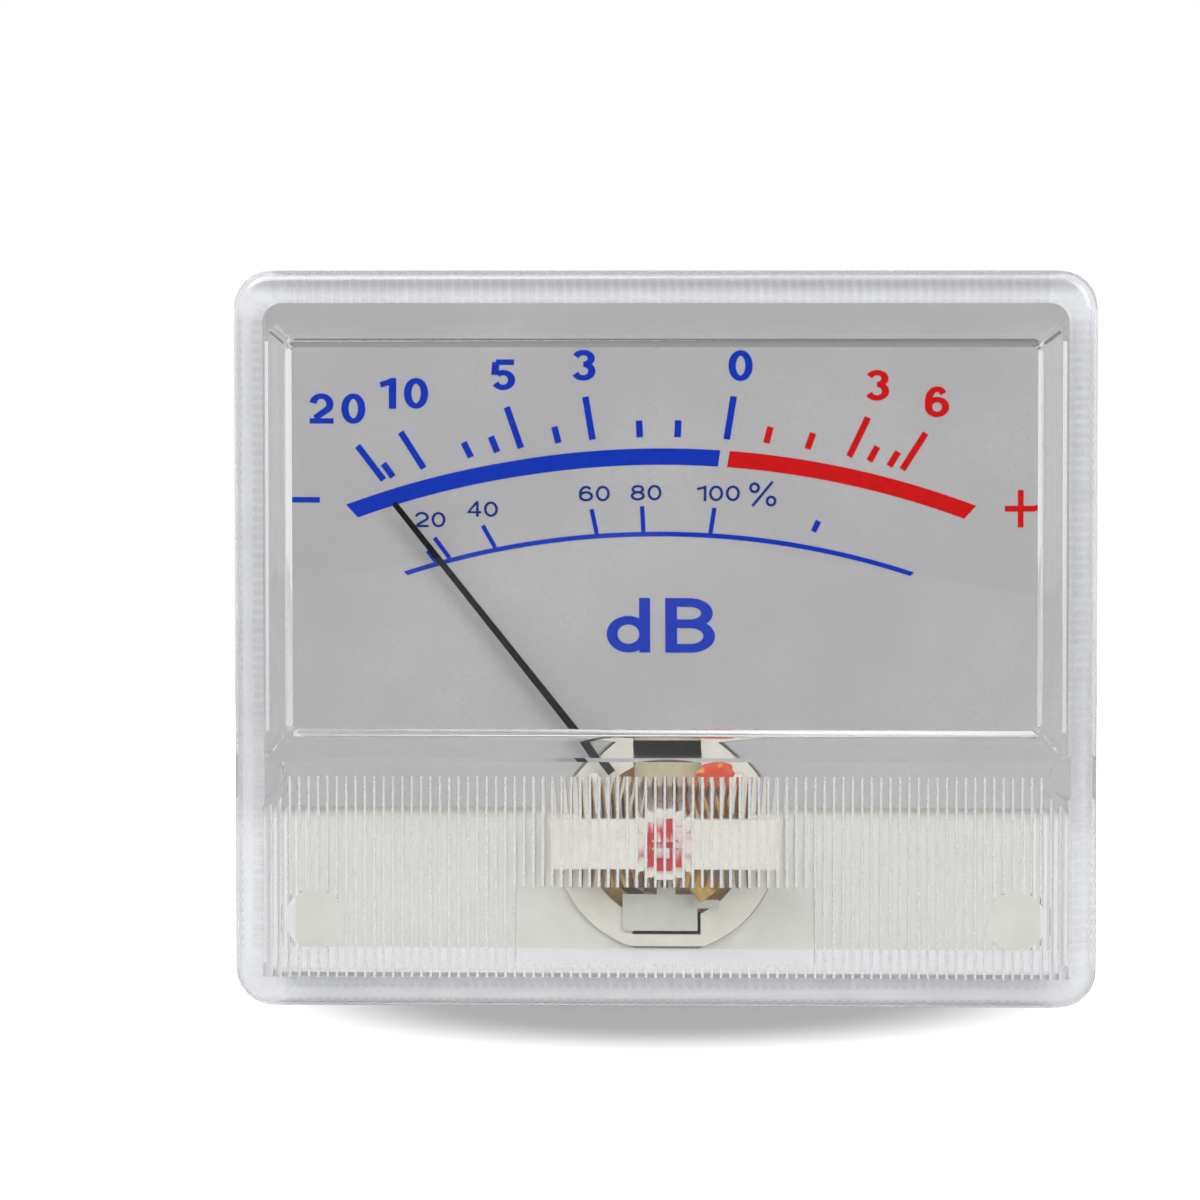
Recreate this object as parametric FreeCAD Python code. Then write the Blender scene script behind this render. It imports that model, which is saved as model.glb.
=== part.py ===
import FreeCAD, Part
import math
import os

# Panel meter with a moving-coil movement, in millimetres.
# Y = 0 is the plane of the panel that the case's flange seats on, -Y faces the reader,
# Z = 0 and X = 0 are the middle of the face.

# ---- clear front cover -------------------------------------------------------------
FACE_WIDTH = 55.0
FACE_HEIGHT = 47.0
FACE_CORNER_R = 2.4
FACE_EDGE_CHAMFER = 0.5
COVER_DEPTH = 8.5
COVER_SIDE_WALL = 1.5
COVER_END_WALL = 1.8
COVER_FRONT_WALL = 1.5
CAVITY_CORNER_R = 1.2

# Raised window: the flat pane, its place below the top edge, and its sloping sides.
WINDOW_WIDTH = 47.5
WINDOW_HEIGHT = 25.3
WINDOW_TOP_MARGIN = 4.4
WINDOW_RISE = 1.5
WINDOW_SIDE_SLOPE = 1.5
WINDOW_TOP_SLOPE = 0.95
WINDOW_BOTTOM_SLOPE = 1.6
WINDOW_SIDE_INSET = 0.2

# Light-spreading flutes moulded inside the lower front wall.
FLUTE_PITCH = 0.6
FLUTE_DEPTH = 0.18
FLUTE_TOP_GAP = 1.0
PLAIN_PANEL_WIDTH = 18.3
PLAIN_PANEL_HEIGHT = 4.9
PLAIN_PANEL_HEIGHT_ABOVE_EDGE = 5.15
PAD_R = 1.9
PAD_FROM_SIDE = 5.05
PAD_FROM_BOTTOM = 5.5

# Half-round posts on the side walls that press the dial on to the case.
POST_R = 1.4
POST_BELOW_WINDOW = 1.1

# ---- rear case ---------------------------------------------------------------------
FLANGE_THICKNESS = 1.0
FLANGE_EDGE_GAP = 0.1
CASE_SIDE_GAP = 0.6
CASE_END_GAP = 0.1
CASE_WALL = 1.4
CASE_FLOOR = 1.5
CASE_REAR_EDGE = 0.5

# White plate pressed into the case mouth, under the lower part of the dial.
SUPPORT_THICKNESS = 0.8
SUPPORT_ABOVE_PIVOT = 9.0
SUPPORT_FRAME_GAP = 0.05

# ---- dial plate --------------------------------------------------------------------
DIAL_THICKNESS = 0.5
DIAL_HEIGHT = 32.7
DIAL_EDGE_GAP = 0.1
DIAL_CUTOUT_GAP = 0.2
DIAL_SUNK = 0.1

# ---- movement, from the reader's side to the rear -----------------------------------
PIVOT_HEIGHT = 10.3
HEAD_TO_COVER_GAP = 0.25
SCREW_STANDOUT = 0.45
BRIDGE_THICKNESS = 1.0
POINTER_TO_BRIDGE_GAP = 1.0
POINTER_THICKNESS = 0.25
POINTER_TO_DIAL_GAP = 1.05
FRAME_LIP_DEPTH = 1.9
YOKE_LENGTH = 7.0
CORE_LENGTH = 5.8
COIL_END_GAP = 0.35
REAR_SPRING_SPACE = 1.5
REAR_BOSS_STANDOUT = 0.2
LEVER_THICKNESS = 0.35
LEVER_END_PLAY = 0.05
REAR_HEAD_THICKNESS = 0.5
HEAD_TO_FLOOR_GAP = 0.6

# Moulded frame that carries the jewels.
FRAME_R = 7.2
FRAME_FLAT_BELOW_PIVOT = 6.8
FRAME_LIP_WIDTH = 0.4
FRAME_FRONT_SHARE = 2.2
LEG_WIDTH = 3.6
LEG_RADIAL = 1.8
BRIDGE_WIDTH = 3.2
BRIDGE_BOSS_R = 2.3
YOKE_SEAT_THICKNESS = 0.5
REAR_WINDOW_WIDTH = 10.4
LEVER_SEAT_R = 1.6
EAR_SPACING = 19.2
EAR_R = 2.0
EAR_HOLE_GAP = 0.1

# Magnet circuit and its clamps.
CORE_R = 3.1
YOKE_BORE_R = 4.4
YOKE_WALL = 1.2
CLAMP_ARM_WIDTH = 3.0
CLAMP_HEAD_WIDTH = 4.3
CLAMP_HEAD_THICKNESS = 0.9
CLAMP_CAP_LENGTH = 1.3
CLAMP_TOP_REACH = 6.75
CLAMP_BOTTOM_REACH = 6.0
CLAMP_GRIP = 0.3
CLAMP_REACH_ON_CORE = 1.9
CLAMP_COIL_GAP = 0.3
CLAMP_NOTCH_GAP = 0.05

# Moving coil.
FORMER_THICKNESS = 0.15
FORMER_WIDTH = 2.2
WINDING_THICKNESS = 0.4
WINDING_WIDTH = 1.8
COIL_CORE_GAP = 0.25
COIL_CORNER_R = 0.3

# Staff, hub, pointer and balance weights.
STAFF_R = 0.25
STAFF_TIP_LENGTH = 0.4
STAFF_END_GAP = 0.05
HUB_R = 0.6
REAR_HUB_END_GAP = 0.3
POINTER_LENGTH = 28.0
POINTER_TIP_WIDTH = 0.36
POINTER_ROOT_WIDTH = 0.55
POINTER_REST_ANGLE = -38.5
POINTER_STOP_ANGLE = 43.0
POINTER_EYE_R = 0.95
ARM_WIDTH = 0.5
ARM_LENGTH = 4.4
TAIL_WEIGHT_R = 0.7
TAIL_WEIGHT_FROM_PIVOT = 1.3
SIDE_WEIGHT_R = 0.4
SIDE_WEIGHT_LENGTH = 1.2
ALUMINIUM_DENSITY = 2.7
BRASS_DENSITY = 8.5
STOP_R = 0.35
STOP_AT_R = 6.2
STOP_PAST_POINTER = 0.4

# Jewels and their screws.
JEWEL_R = 0.5
JEWEL_LENGTH = 0.6
JEWEL_PROUD = 0.1
CUP_DEPTH = 0.45
CUP_MOUTH_R = 0.38
JEWEL_SCREW_R = 0.9
REAR_HEAD_R = 1.6
LACQUER_R = 1.7
LACQUER_THICKNESS = 0.2
SLOT_WIDTH = 0.4
SLOT_DEPTH = 0.25

# Hairsprings.
SPRING_STRIP = 0.08
SPRING_HEIGHT = 0.3
SPRING_HUB_GAP = 0.11
SPRING_HALF_PITCH = 0.3
SPRING_HALF_TURNS = 7
FRONT_SPRING_FROM_RING = 0.15

# Fixed tab for the front hairspring.
TAB_THICKNESS = 0.25
TAB_LEFT = 2.8
TAB_RIGHT = 2.0
TAB_INNER_R = 3.45
TAB_OUTER_R = 5.8
TAB_LUG_LENGTH = 1.4
TAB_LUG_WIDTH = 0.55
TAB_LUG_R = 3.8
TAB_LIP_WIDTH = 1.2
TAB_LIP_DEPTH = 0.6

# Zero lever and the slotted adjuster that moves it.
ADJUSTER_ABOVE_PIVOT = 6.0
ADJUSTER_THROW = 0.6
ADJUSTER_PIN_R = 0.4
ADJUSTER_PIN_OVERREACH = 0.1
ADJUSTER_R = 1.6
ADJUSTER_RUNNING_GAP = 0.05
ADJUSTER_FLANGE_R = 2.2
ADJUSTER_FLANGE_THICKNESS = 0.5
ADJUSTER_HEAD_R = 1.95
ADJUSTER_HEAD_THICKNESS = 0.4
ADJUSTER_SLOT_WIDTH = 0.6
ADJUSTER_SLOT_DEPTH = 0.5
FORK_GAP = 0.06
FORK_PRONG = 0.8
FORK_OVERREACH = 0.7
LEVER_RING_R = 2.3
LEVER_ARM_WIDTH = 1.8
LEVER_HOLE_GAP = 0.05
LEVER_TAB_WIDTH = 1.2
LEVER_TAB_THICKNESS = 0.3

# Screws.
EAR_SCREW_R = 1.0
EAR_SCREW_HEAD_R = 1.8
EAR_SCREW_HEAD = 1.0

# Terminals and lamp board on the case floor.
SIGNAL_PIN_R = 0.6
SIGNAL_PIN_SPACING = 25.4
SIGNAL_PIN_Z = 8.0
SIGNAL_SHANK_R = 0.9
SIGNAL_TAIL = 1.8
PIN_REACH = 5.0
LAMP_PIN_R = 0.4
LAMP_SHANK_R = 0.6
LAMP_PIN_SPACING = 38.0
LAMP_PIN_TAIL = 0.5
BOARD_LENGTH = 42.0
BOARD_HEIGHT = 5.0
BOARD_THICKNESS = 0.8
BOARD_TO_ADJUSTER_GAP = 0.8
BOARD_STANDOFF = 1.2
BOARD_RIB_SPACING = 33.0
BOARD_RIB_WIDTH = 1.0
LAMP_SPACING = 28.0
LAMP_WIDTH = 3.5
LAMP_HEIGHT = 2.8
LAMP_THICKNESS = 1.2
LAMP_LENS_INSET = 0.4
LAMP_LENS_RISE = 0.3

# ---- places worked out from the sizes above ------------------------------------------
face_y = -COVER_DEPTH
flange_y = -FLANGE_THICKNESS
inner_face_y = face_y + COVER_FRONT_WALL
window_y = face_y - WINDOW_RISE
pocket_y = window_y + COVER_FRONT_WALL
cavity_width = FACE_WIDTH - 2 * COVER_SIDE_WALL
cavity_height = FACE_HEIGHT - 2 * COVER_END_WALL
case_width = cavity_width - 2 * CASE_SIDE_GAP
case_height = cavity_height - 2 * CASE_END_GAP
pivot_z = PIVOT_HEIGHT - FACE_HEIGHT / 2
hollow_half_width = case_width / 2 - CASE_WALL
hollow_half_height = case_height / 2 - CASE_WALL

head_front_y = inner_face_y + HEAD_TO_COVER_GAP
bridge_front_y = head_front_y + SCREW_STANDOUT
bridge_rear_y = bridge_front_y + BRIDGE_THICKNESS
pointer_front_y = bridge_rear_y + POINTER_TO_BRIDGE_GAP
pointer_rear_y = pointer_front_y + POINTER_THICKNESS
dial_front_y = pointer_rear_y + POINTER_TO_DIAL_GAP
rim_y = dial_front_y + DIAL_THICKNESS
support_rear_y = rim_y + SUPPORT_THICKNESS
ring_front_y = dial_front_y + DIAL_SUNK
yoke_front_y = ring_front_y + FRAME_LIP_DEPTH
yoke_rear_y = yoke_front_y + YOKE_LENGTH
frame_joint_y = yoke_front_y + FRAME_FRONT_SHARE
core_front_y = yoke_front_y + (YOKE_LENGTH - CORE_LENGTH) / 2
core_rear_y = core_front_y + CORE_LENGTH
coil_thickness = FORMER_THICKNESS + WINDING_THICKNESS
coil_front_y = core_front_y - COIL_END_GAP - coil_thickness
coil_rear_y = core_rear_y + COIL_END_GAP + coil_thickness
rear_bridge_y = coil_rear_y + REAR_SPRING_SPACE
rear_bridge_back_y = rear_bridge_y + BRIDGE_THICKNESS
lever_front_y = rear_bridge_back_y + REAR_BOSS_STANDOUT
lever_rear_y = lever_front_y + LEVER_THICKNESS
rear_head_y = lever_rear_y + LEVER_END_PLAY
floor_y = rear_head_y + REAR_HEAD_THICKNESS + HEAD_TO_FLOOR_GAP
case_rear_y = floor_y + CASE_FLOOR
pin_end_y = case_rear_y + PIN_REACH

yoke_r = YOKE_BORE_R + YOKE_WALL
lip_r = yoke_r - FRAME_LIP_WIDTH
former_r = CORE_R + COIL_CORE_GAP
coil_r = former_r + coil_thickness
spring_start_r = HUB_R + SPRING_HUB_GAP + SPRING_STRIP / 2
spring_end_r = spring_start_r + (SPRING_HALF_TURNS - 1) * SPRING_HALF_PITCH
spring_anchor_r = spring_end_r + SPRING_STRIP / 2
adjuster_z = pivot_z + ADJUSTER_ABOVE_PIVOT
pin_at_r = ADJUSTER_ABOVE_PIVOT + ADJUSTER_THROW
board_z = adjuster_z + ADJUSTER_FLANGE_R + BOARD_TO_ADJUSTER_GAP + BOARD_HEIGHT / 2
board_rear_y = floor_y - BOARD_STANDOFF
board_front_y = board_rear_y - BOARD_THICKNESS

Y_AXIS = FreeCAD.Vector(0, 1, 0)
PIVOT = FreeCAD.Vector(0, 0, pivot_z)
SAME_PLACE = 1e-6


# ---- shape helpers ------------------------------------------------------------------
def block(x0, x1, y0, y1, z0, z1):
    """A box between two corners."""
    return Part.makeBox(x1 - x0, y1 - y0, z1 - z0, FreeCAD.Vector(x0, y0, z0))


def rod(x, z, radius, y0, y1):
    """A round bar along Y."""
    return Part.makeCylinder(radius, y1 - y0, FreeCAD.Vector(x, y0, z), Y_AXIS)


def tube(outer_r, inner_r, y0, y1):
    """A ring round the pivot axis."""
    return rod(0, pivot_z, outer_r, y0, y1).cut(rod(0, pivot_z, inner_r, y0, y1))


def cone(radius, base_y, tip_y):
    """A pointed cone round the pivot axis."""
    axis = Y_AXIS if tip_y > base_y else -Y_AXIS
    base = FreeCAD.Vector(0, base_y, pivot_z)
    return Part.makeCone(radius, 0, abs(tip_y - base_y), base, axis)


def pair(make, half_spacing):
    """The shapes that make(x) returns on the left and on the right."""
    return [make(-half_spacing), make(half_spacing)]


def edges_along_y(shape):
    return [e for e in shape.Edges if abs(e.tangentAt(e.FirstParameter).y) > 0.999]


def edges_at_y(shape, y):
    """The edges that lie in the plane at y."""
    def in_plane(edge):
        return all(abs(vertex.Point.y - y) < SAME_PLACE for vertex in edge.Vertexes)

    return [e for e in shape.Edges if in_plane(e)]


def rounded_block(width, height, radius, y0, y1):
    """A block centred on the Y axis, with its four long corners rounded."""
    plain = block(-width / 2, width / 2, y0, y1, -height / 2, height / 2)
    return plain.makeFillet(radius, edges_along_y(plain))


def rectangle(half_width, bottom, top, y):
    """A closed rectangular wire in the plane at y."""
    corners = [(-1, bottom), (1, bottom), (1, top), (-1, top), (-1, bottom)]
    return Part.makePolygon(
        [FreeCAD.Vector(side * half_width, y, z) for side, z in corners]
    )


def prism(points, y0, y1):
    """An outline of (x, z) points, extruded from y0 to y1."""
    corners = [FreeCAD.Vector(x, y0, z) for x, z in points]
    face = Part.Face(Part.makePolygon(corners + corners[:1]))
    return face.extrude(FreeCAD.Vector(0, y1 - y0, 0))


def above_pivot(half_width, inner, outer, y0, y1):
    """A block straddling the centre line, from inner to outer above the pivot."""
    return block(-half_width, half_width, y0, y1, pivot_z + inner, pivot_z + outer)


def swung(shape, angle):
    """The shape turned about the pivot axis; a positive angle moves its top to the right."""
    turned = shape.copy()
    turned.rotate(PIVOT, Y_AXIS, angle)
    return turned


def at_rest(shape):
    """A piece of the moving system, modelled pointing straight up, at its rest angle."""
    return swung(shape, POINTER_REST_ANGLE)


def slot(head_r, width, depth, mouth_y, inward, z):
    """A screwdriver slot across a head whose face is at mouth_y."""
    half = head_r + width
    y0, y1 = sorted((mouth_y, mouth_y + inward * depth))
    return block(-half, half, y0, y1, z - width / 2, z + width / 2)


# ---- front cover -------------------------------------------------------------------
def window_rectangles(inset):
    """Half width, bottom and top of the window's pane and of its foot, moved in by inset."""
    top = FACE_HEIGHT / 2 - WINDOW_TOP_MARGIN
    bottom = top - WINDOW_HEIGHT
    half = WINDOW_WIDTH / 2
    pane = (half - inset, bottom + inset, top - inset)
    foot = (
        half + WINDOW_SIDE_SLOPE - inset,
        bottom - WINDOW_BOTTOM_SLOPE + inset,
        top + WINDOW_TOP_SLOPE - inset,
    )
    return pane, foot


def window_block(inset, pane_y, foot_y):
    pane, foot = window_rectangles(inset)
    wires = [rectangle(*foot, foot_y), rectangle(*pane, pane_y)]
    return Part.makeLoft(wires, True, True)


def window_foot_z():
    return window_rectangles(0)[1][1]


def flute_grooves():
    """V-grooves side by side across the inside of the lower front wall."""
    top = window_foot_z() - FLUTE_TOP_GAP
    bottom = -cavity_height / 2
    count = int(cavity_width / FLUTE_PITCH)
    left = -count * FLUTE_PITCH / 2
    profile = [(left, inner_face_y)]
    for i in range(count):
        profile.append((left + (i + 0.5) * FLUTE_PITCH, inner_face_y - FLUTE_DEPTH))
        profile.append((left + (i + 1) * FLUTE_PITCH, inner_face_y))
    profile.append((-left, inner_face_y + FLUTE_DEPTH))
    profile.append((left, inner_face_y + FLUTE_DEPTH))
    corners = [FreeCAD.Vector(x, y, bottom) for x, y in profile]
    face = Part.Face(Part.makePolygon(corners + corners[:1]))
    grooves = face.extrude(FreeCAD.Vector(0, 0, top - bottom))
    y0, y1 = inner_face_y - FLUTE_DEPTH, inner_face_y + FLUTE_DEPTH
    return grooves.common(
        rounded_block(cavity_width, cavity_height, CAVITY_CORNER_R, y0, y1)
    )


def plain_areas():
    """Where the flutes leave the wall smooth: a name-plate area and two round pads."""
    y0, y1 = inner_face_y - 2 * FLUTE_DEPTH, inner_face_y + FLUTE_DEPTH
    base = PLAIN_PANEL_HEIGHT_ABOVE_EDGE - FACE_HEIGHT / 2 - PLAIN_PANEL_HEIGHT / 2
    half = PLAIN_PANEL_WIDTH / 2
    plate = block(-half, half, y0, y1, base, base + PLAIN_PANEL_HEIGHT)
    pad_z = PAD_FROM_BOTTOM - FACE_HEIGHT / 2
    pad_x = FACE_WIDTH / 2 - PAD_FROM_SIDE
    pads = pair(lambda x: rod(x, pad_z, PAD_R, y0, y1), pad_x)
    return Part.makeCompound([plate] + pads)


def dial_posts():
    z = window_foot_z() - POST_BELOW_WINDOW
    x = cavity_width / 2
    root_y = inner_face_y - FLUTE_DEPTH
    posts = pair(lambda side: rod(side, z, POST_R, root_y, dial_front_y), x)
    keep = block(-x, x, root_y, dial_front_y, z - POST_R, z + POST_R)
    return [post.common(keep) for post in posts]


def front_cover():
    body = rounded_block(FACE_WIDTH, FACE_HEIGHT, FACE_CORNER_R, face_y, flange_y)
    body = body.makeChamfer(FACE_EDGE_CHAMFER, edges_at_y(body, face_y))
    body = body.fuse(window_block(0, window_y, face_y))
    cavity = rounded_block(
        cavity_width, cavity_height, CAVITY_CORNER_R, inner_face_y, flange_y
    )
    body = body.cut(cavity.fuse(window_block(WINDOW_SIDE_INSET, pocket_y, inner_face_y)))
    body = body.cut(flute_grooves().cut(plain_areas()))
    return body.fuse(dial_posts())


# ---- rear case ---------------------------------------------------------------------
def movement_bosses():
    """Blind bosses on the floor that the movement is screwed to."""
    solid = pair(
        lambda x: rod(x, pivot_z, EAR_R, rear_bridge_back_y, floor_y), EAR_SPACING / 2
    )
    bores = pair(
        lambda x: rod(x, pivot_z, EAR_SCREW_R, rear_bridge_back_y, floor_y),
        EAR_SPACING / 2,
    )
    return solid, bores


def board_ribs():
    """Upright ribs on the floor that the lamp board is seated on."""
    def rib(x):
        half = BOARD_RIB_WIDTH / 2
        low = board_z - BOARD_HEIGHT / 2
        return block(x - half, x + half, board_rear_y, floor_y, low, low + BOARD_HEIGHT)

    return pair(rib, BOARD_RIB_SPACING / 2)


def floor_holes():
    holes = pair(
        lambda x: rod(x, SIGNAL_PIN_Z, SIGNAL_SHANK_R, floor_y, case_rear_y),
        SIGNAL_PIN_SPACING / 2,
    )
    holes += pair(
        lambda x: rod(x, board_z, LAMP_SHANK_R, floor_y, case_rear_y),
        LAMP_PIN_SPACING / 2,
    )
    adjuster_hole_r = ADJUSTER_R + ADJUSTER_RUNNING_GAP
    holes.append(rod(0, adjuster_z, adjuster_hole_r, floor_y, case_rear_y))
    return holes


def flange():
    """The plate round the case that carries the cover in front and seats on the panel."""
    return rounded_block(
        FACE_WIDTH - 2 * FLANGE_EDGE_GAP,
        FACE_HEIGHT - 2 * FLANGE_EDGE_GAP,
        FACE_CORNER_R - FLANGE_EDGE_GAP,
        flange_y,
        0,
    )


def rear_case():
    corner = CAVITY_CORNER_R - CASE_END_GAP
    body = rounded_block(case_width, case_height, corner, rim_y, case_rear_y)
    body = body.makeChamfer(CASE_REAR_EDGE, edges_at_y(body, case_rear_y)).fuse(flange())
    half_w, half_h = hollow_half_width, hollow_half_height
    hollow = block(-half_w, half_w, rim_y, floor_y, -half_h, half_h)
    bosses, bores = movement_bosses()
    return body.cut(hollow).fuse(bosses + board_ribs()).cut(bores + floor_holes())


def dial_support():
    """The white plate round the movement that the lower part of the dial lies on."""
    half, top = hollow_half_width, pivot_z + SUPPORT_ABOVE_PIVOT
    plate = block(-half, half, rim_y, support_rear_y, -hollow_half_height, top)
    return plate.cut(rod(0, pivot_z, FRAME_R + SUPPORT_FRAME_GAP, rim_y, support_rear_y))


def dial_plate():
    half = cavity_width / 2 - DIAL_EDGE_GAP
    top = cavity_height / 2 - DIAL_EDGE_GAP
    plate = block(-half, half, dial_front_y, rim_y, top - DIAL_HEIGHT, top)
    plate = plate.common(
        rounded_block(2 * half, 2 * top, CAVITY_CORNER_R, dial_front_y, rim_y)
    )
    cutout_r = FRAME_R + DIAL_CUTOUT_GAP
    return plate.cut(rod(0, pivot_z, cutout_r, dial_front_y, rim_y))


# ---- movement frame ----------------------------------------------------------------
def flattened(shape, y0, y1):
    """The shape with its round lower side cut off flat, clear of the case wall."""
    below = block(
        -FRAME_R, FRAME_R, y0, y1, pivot_z - FRAME_R, pivot_z - FRAME_FLAT_BELOW_PIVOT
    )
    return shape.cut(below)


def front_bridge():
    """A bar across the front of the frame, with a round boss for the jewel screw."""
    y0, y1 = bridge_front_y, bridge_rear_y
    half = BRIDGE_WIDTH / 2
    bar = block(-FRAME_R, FRAME_R, y0, y1, pivot_z - half, pivot_z + half)
    bar = bar.common(rod(0, pivot_z, FRAME_R, y0, y1))
    return bar.fuse(rod(0, pivot_z, BRIDGE_BOSS_R, y0, y1))


def jewel_screw_bore(y0, y1):
    return rod(0, pivot_z, JEWEL_SCREW_R, y0, y1)


def bridge_legs():
    half = LEG_WIDTH / 2
    ring = tube(FRAME_R, FRAME_R - LEG_RADIAL, bridge_rear_y, ring_front_y)
    band = block(
        -FRAME_R, FRAME_R, bridge_rear_y, ring_front_y, pivot_z - half, pivot_z + half
    )
    return ring.common(band)


def pointer_half_width_at(radius):
    share = radius / POINTER_LENGTH
    width = POINTER_ROOT_WIDTH + share * (POINTER_TIP_WIDTH - POINTER_ROOT_WIDTH)
    return width / 2


def pointer_stops():
    """A peg on each side that the pointer comes to rest against."""
    reach = STOP_R + pointer_half_width_at(STOP_AT_R)
    angle = POINTER_STOP_ANGLE + math.degrees(math.asin(reach / STOP_AT_R))
    front = pointer_front_y - STOP_PAST_POINTER
    peg = rod(0, pivot_z + STOP_AT_R, STOP_R, front, ring_front_y)
    return [swung(peg, -angle), swung(peg, angle)]


def clamp_notches():
    half = CLAMP_HEAD_WIDTH / 2 + CLAMP_NOTCH_GAP
    top = CLAMP_TOP_REACH + CLAMP_NOTCH_GAP
    bottom = CLAMP_BOTTOM_REACH + CLAMP_NOTCH_GAP
    return [
        above_pivot(half, 0, top, ring_front_y, yoke_front_y),
        above_pivot(half, -bottom, 0, ring_front_y, yoke_front_y),
    ]


def frame_front():
    ring = tube(FRAME_R, lip_r, ring_front_y, yoke_front_y)
    skirt = tube(FRAME_R, yoke_r, yoke_front_y, frame_joint_y)
    base = flattened(ring.fuse(skirt), ring_front_y, frame_joint_y)
    base = base.cut(clamp_notches())
    body = base.fuse([bridge_legs(), front_bridge()] + pointer_stops())
    return body.cut(jewel_screw_bore(bridge_front_y, bridge_rear_y))


def ears(radius, y0, y1):
    return pair(lambda x: rod(x, pivot_z, radius, y0, y1), EAR_SPACING / 2)


def rear_bridge():
    """A bar from ear to ear across the rear of the frame, with a seat for the lever."""
    half = EAR_SPACING / 2
    y0, y1 = rear_bridge_y, rear_bridge_back_y
    bar = block(-half, half, y0, y1, pivot_z - EAR_R, pivot_z + EAR_R)
    seat = rod(0, pivot_z, LEVER_SEAT_R, y1, lever_front_y)
    return bar.fuse([seat] + ears(EAR_R, y0, y1)).cut(ears(EAR_SCREW_R + EAR_HOLE_GAP, y0, y1))


def frame_rear():
    seat_y = yoke_rear_y + YOKE_SEAT_THICKNESS
    body = tube(FRAME_R, yoke_r, frame_joint_y, rear_bridge_y)
    seat = tube(yoke_r, lip_r, yoke_rear_y, seat_y)
    body = flattened(body.fuse(seat), frame_joint_y, rear_bridge_y)
    half = REAR_WINDOW_WIDTH / 2
    body = body.cut(above_pivot(half, -FRAME_R, FRAME_R, seat_y, rear_bridge_y))
    body = body.fuse(rear_bridge())
    return body.cut(jewel_screw_bore(rear_bridge_y, lever_front_y))


def movement_screws():
    head_y = rear_bridge_y - EAR_SCREW_HEAD

    def screw(x):
        shank = rod(x, pivot_z, EAR_SCREW_R, rear_bridge_y, floor_y)
        head = rod(x, pivot_z, EAR_SCREW_HEAD_R, head_y, rear_bridge_y)
        cut = slot(EAR_SCREW_HEAD_R, SLOT_WIDTH, SLOT_DEPTH, head_y, 1, pivot_z)
        cut.translate(FreeCAD.Vector(x, 0, 0))
        return shank.fuse(head).cut(cut)

    return Part.makeCompound(pair(screw, EAR_SPACING / 2))


# ---- magnet circuit ----------------------------------------------------------------
def yoke_ring():
    return tube(yoke_r, YOKE_BORE_R, yoke_front_y, yoke_rear_y)


def clamp_tip(sign):
    """The end of a clamp that bears on a flat of the core."""
    half = CLAMP_ARM_WIDTH / 2
    inner, outer = sorted((sign * (CORE_R - CLAMP_GRIP), sign * YOKE_BORE_R))
    rear = core_front_y + CLAMP_REACH_ON_CORE
    return above_pivot(half, inner, outer, core_front_y, rear)


def core_clamp(sign, reach):
    half = CLAMP_ARM_WIDTH / 2
    front = yoke_front_y - CLAMP_HEAD_THICKNESS
    inner, outer = sorted((sign * (CORE_R + CLAMP_COIL_GAP), sign * YOKE_BORE_R))
    arm = above_pivot(half, inner, outer, front, core_front_y)
    arm = arm.fuse(clamp_tip(sign))
    arm = arm.common(rod(0, pivot_z, YOKE_BORE_R, front, yoke_rear_y))
    end = reach - CLAMP_CAP_LENGTH
    inner, outer = sorted((sign * (CORE_R + 2 * CLAMP_COIL_GAP), sign * end))
    head = above_pivot(CLAMP_HEAD_WIDTH / 2, inner, outer, front, yoke_front_y)
    return arm.fuse(head)


def core_clamps():
    top = core_clamp(1, CLAMP_TOP_REACH)
    bottom = core_clamp(-1, CLAMP_BOTTOM_REACH)
    return Part.makeCompound([top, bottom])


def clamp_caps():
    """The black blocks at the outer ends of the clamps, in the frame's notches."""
    front = yoke_front_y - CLAMP_HEAD_THICKNESS

    def cap(sign, reach):
        inner, outer = sorted((sign * (reach - CLAMP_CAP_LENGTH), sign * reach))
        return above_pivot(CLAMP_HEAD_WIDTH / 2, inner, outer, front, yoke_front_y)

    return Part.makeCompound([cap(1, CLAMP_TOP_REACH), cap(-1, CLAMP_BOTTOM_REACH)])


def core_magnet():
    core = rod(0, pivot_z, CORE_R, core_front_y, core_rear_y)
    return core.cut([clamp_tip(1), clamp_tip(-1)])


# ---- moving system -----------------------------------------------------------------
def coil_loop(radius, end_y0, end_y1, thickness, width, corner_r):
    """A rectangular loop round the core, its long sides parallel to the staff."""
    outer_r = radius + thickness

    def filled(half, y0, y1, corner):
        z0, z1 = pivot_z - width / 2, pivot_z + width / 2
        core = block(-half, half, y0, y1, z0, z1)
        upright = [e for e in core.Edges if abs(e.tangentAt(e.FirstParameter).z) > 0.999]
        return core.makeFillet(corner, upright)

    outside = filled(outer_r, end_y0 - thickness, end_y1 + thickness, corner_r + thickness)
    return outside.cut(filled(radius, end_y0, end_y1, corner_r))


def coil_former():
    y0, y1 = core_front_y - COIL_END_GAP, core_rear_y + COIL_END_GAP
    loop = coil_loop(former_r, y0, y1, FORMER_THICKNESS, FORMER_WIDTH, COIL_CORNER_R)
    return at_rest(loop)


def coil_winding():
    y0 = core_front_y - COIL_END_GAP - FORMER_THICKNESS
    y1 = core_rear_y + COIL_END_GAP + FORMER_THICKNESS
    corner = COIL_CORNER_R + FORMER_THICKNESS
    inner_r = former_r + FORMER_THICKNESS
    loop = coil_loop(inner_r, y0, y1, WINDING_THICKNESS, WINDING_WIDTH, corner)
    return at_rest(loop)


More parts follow.
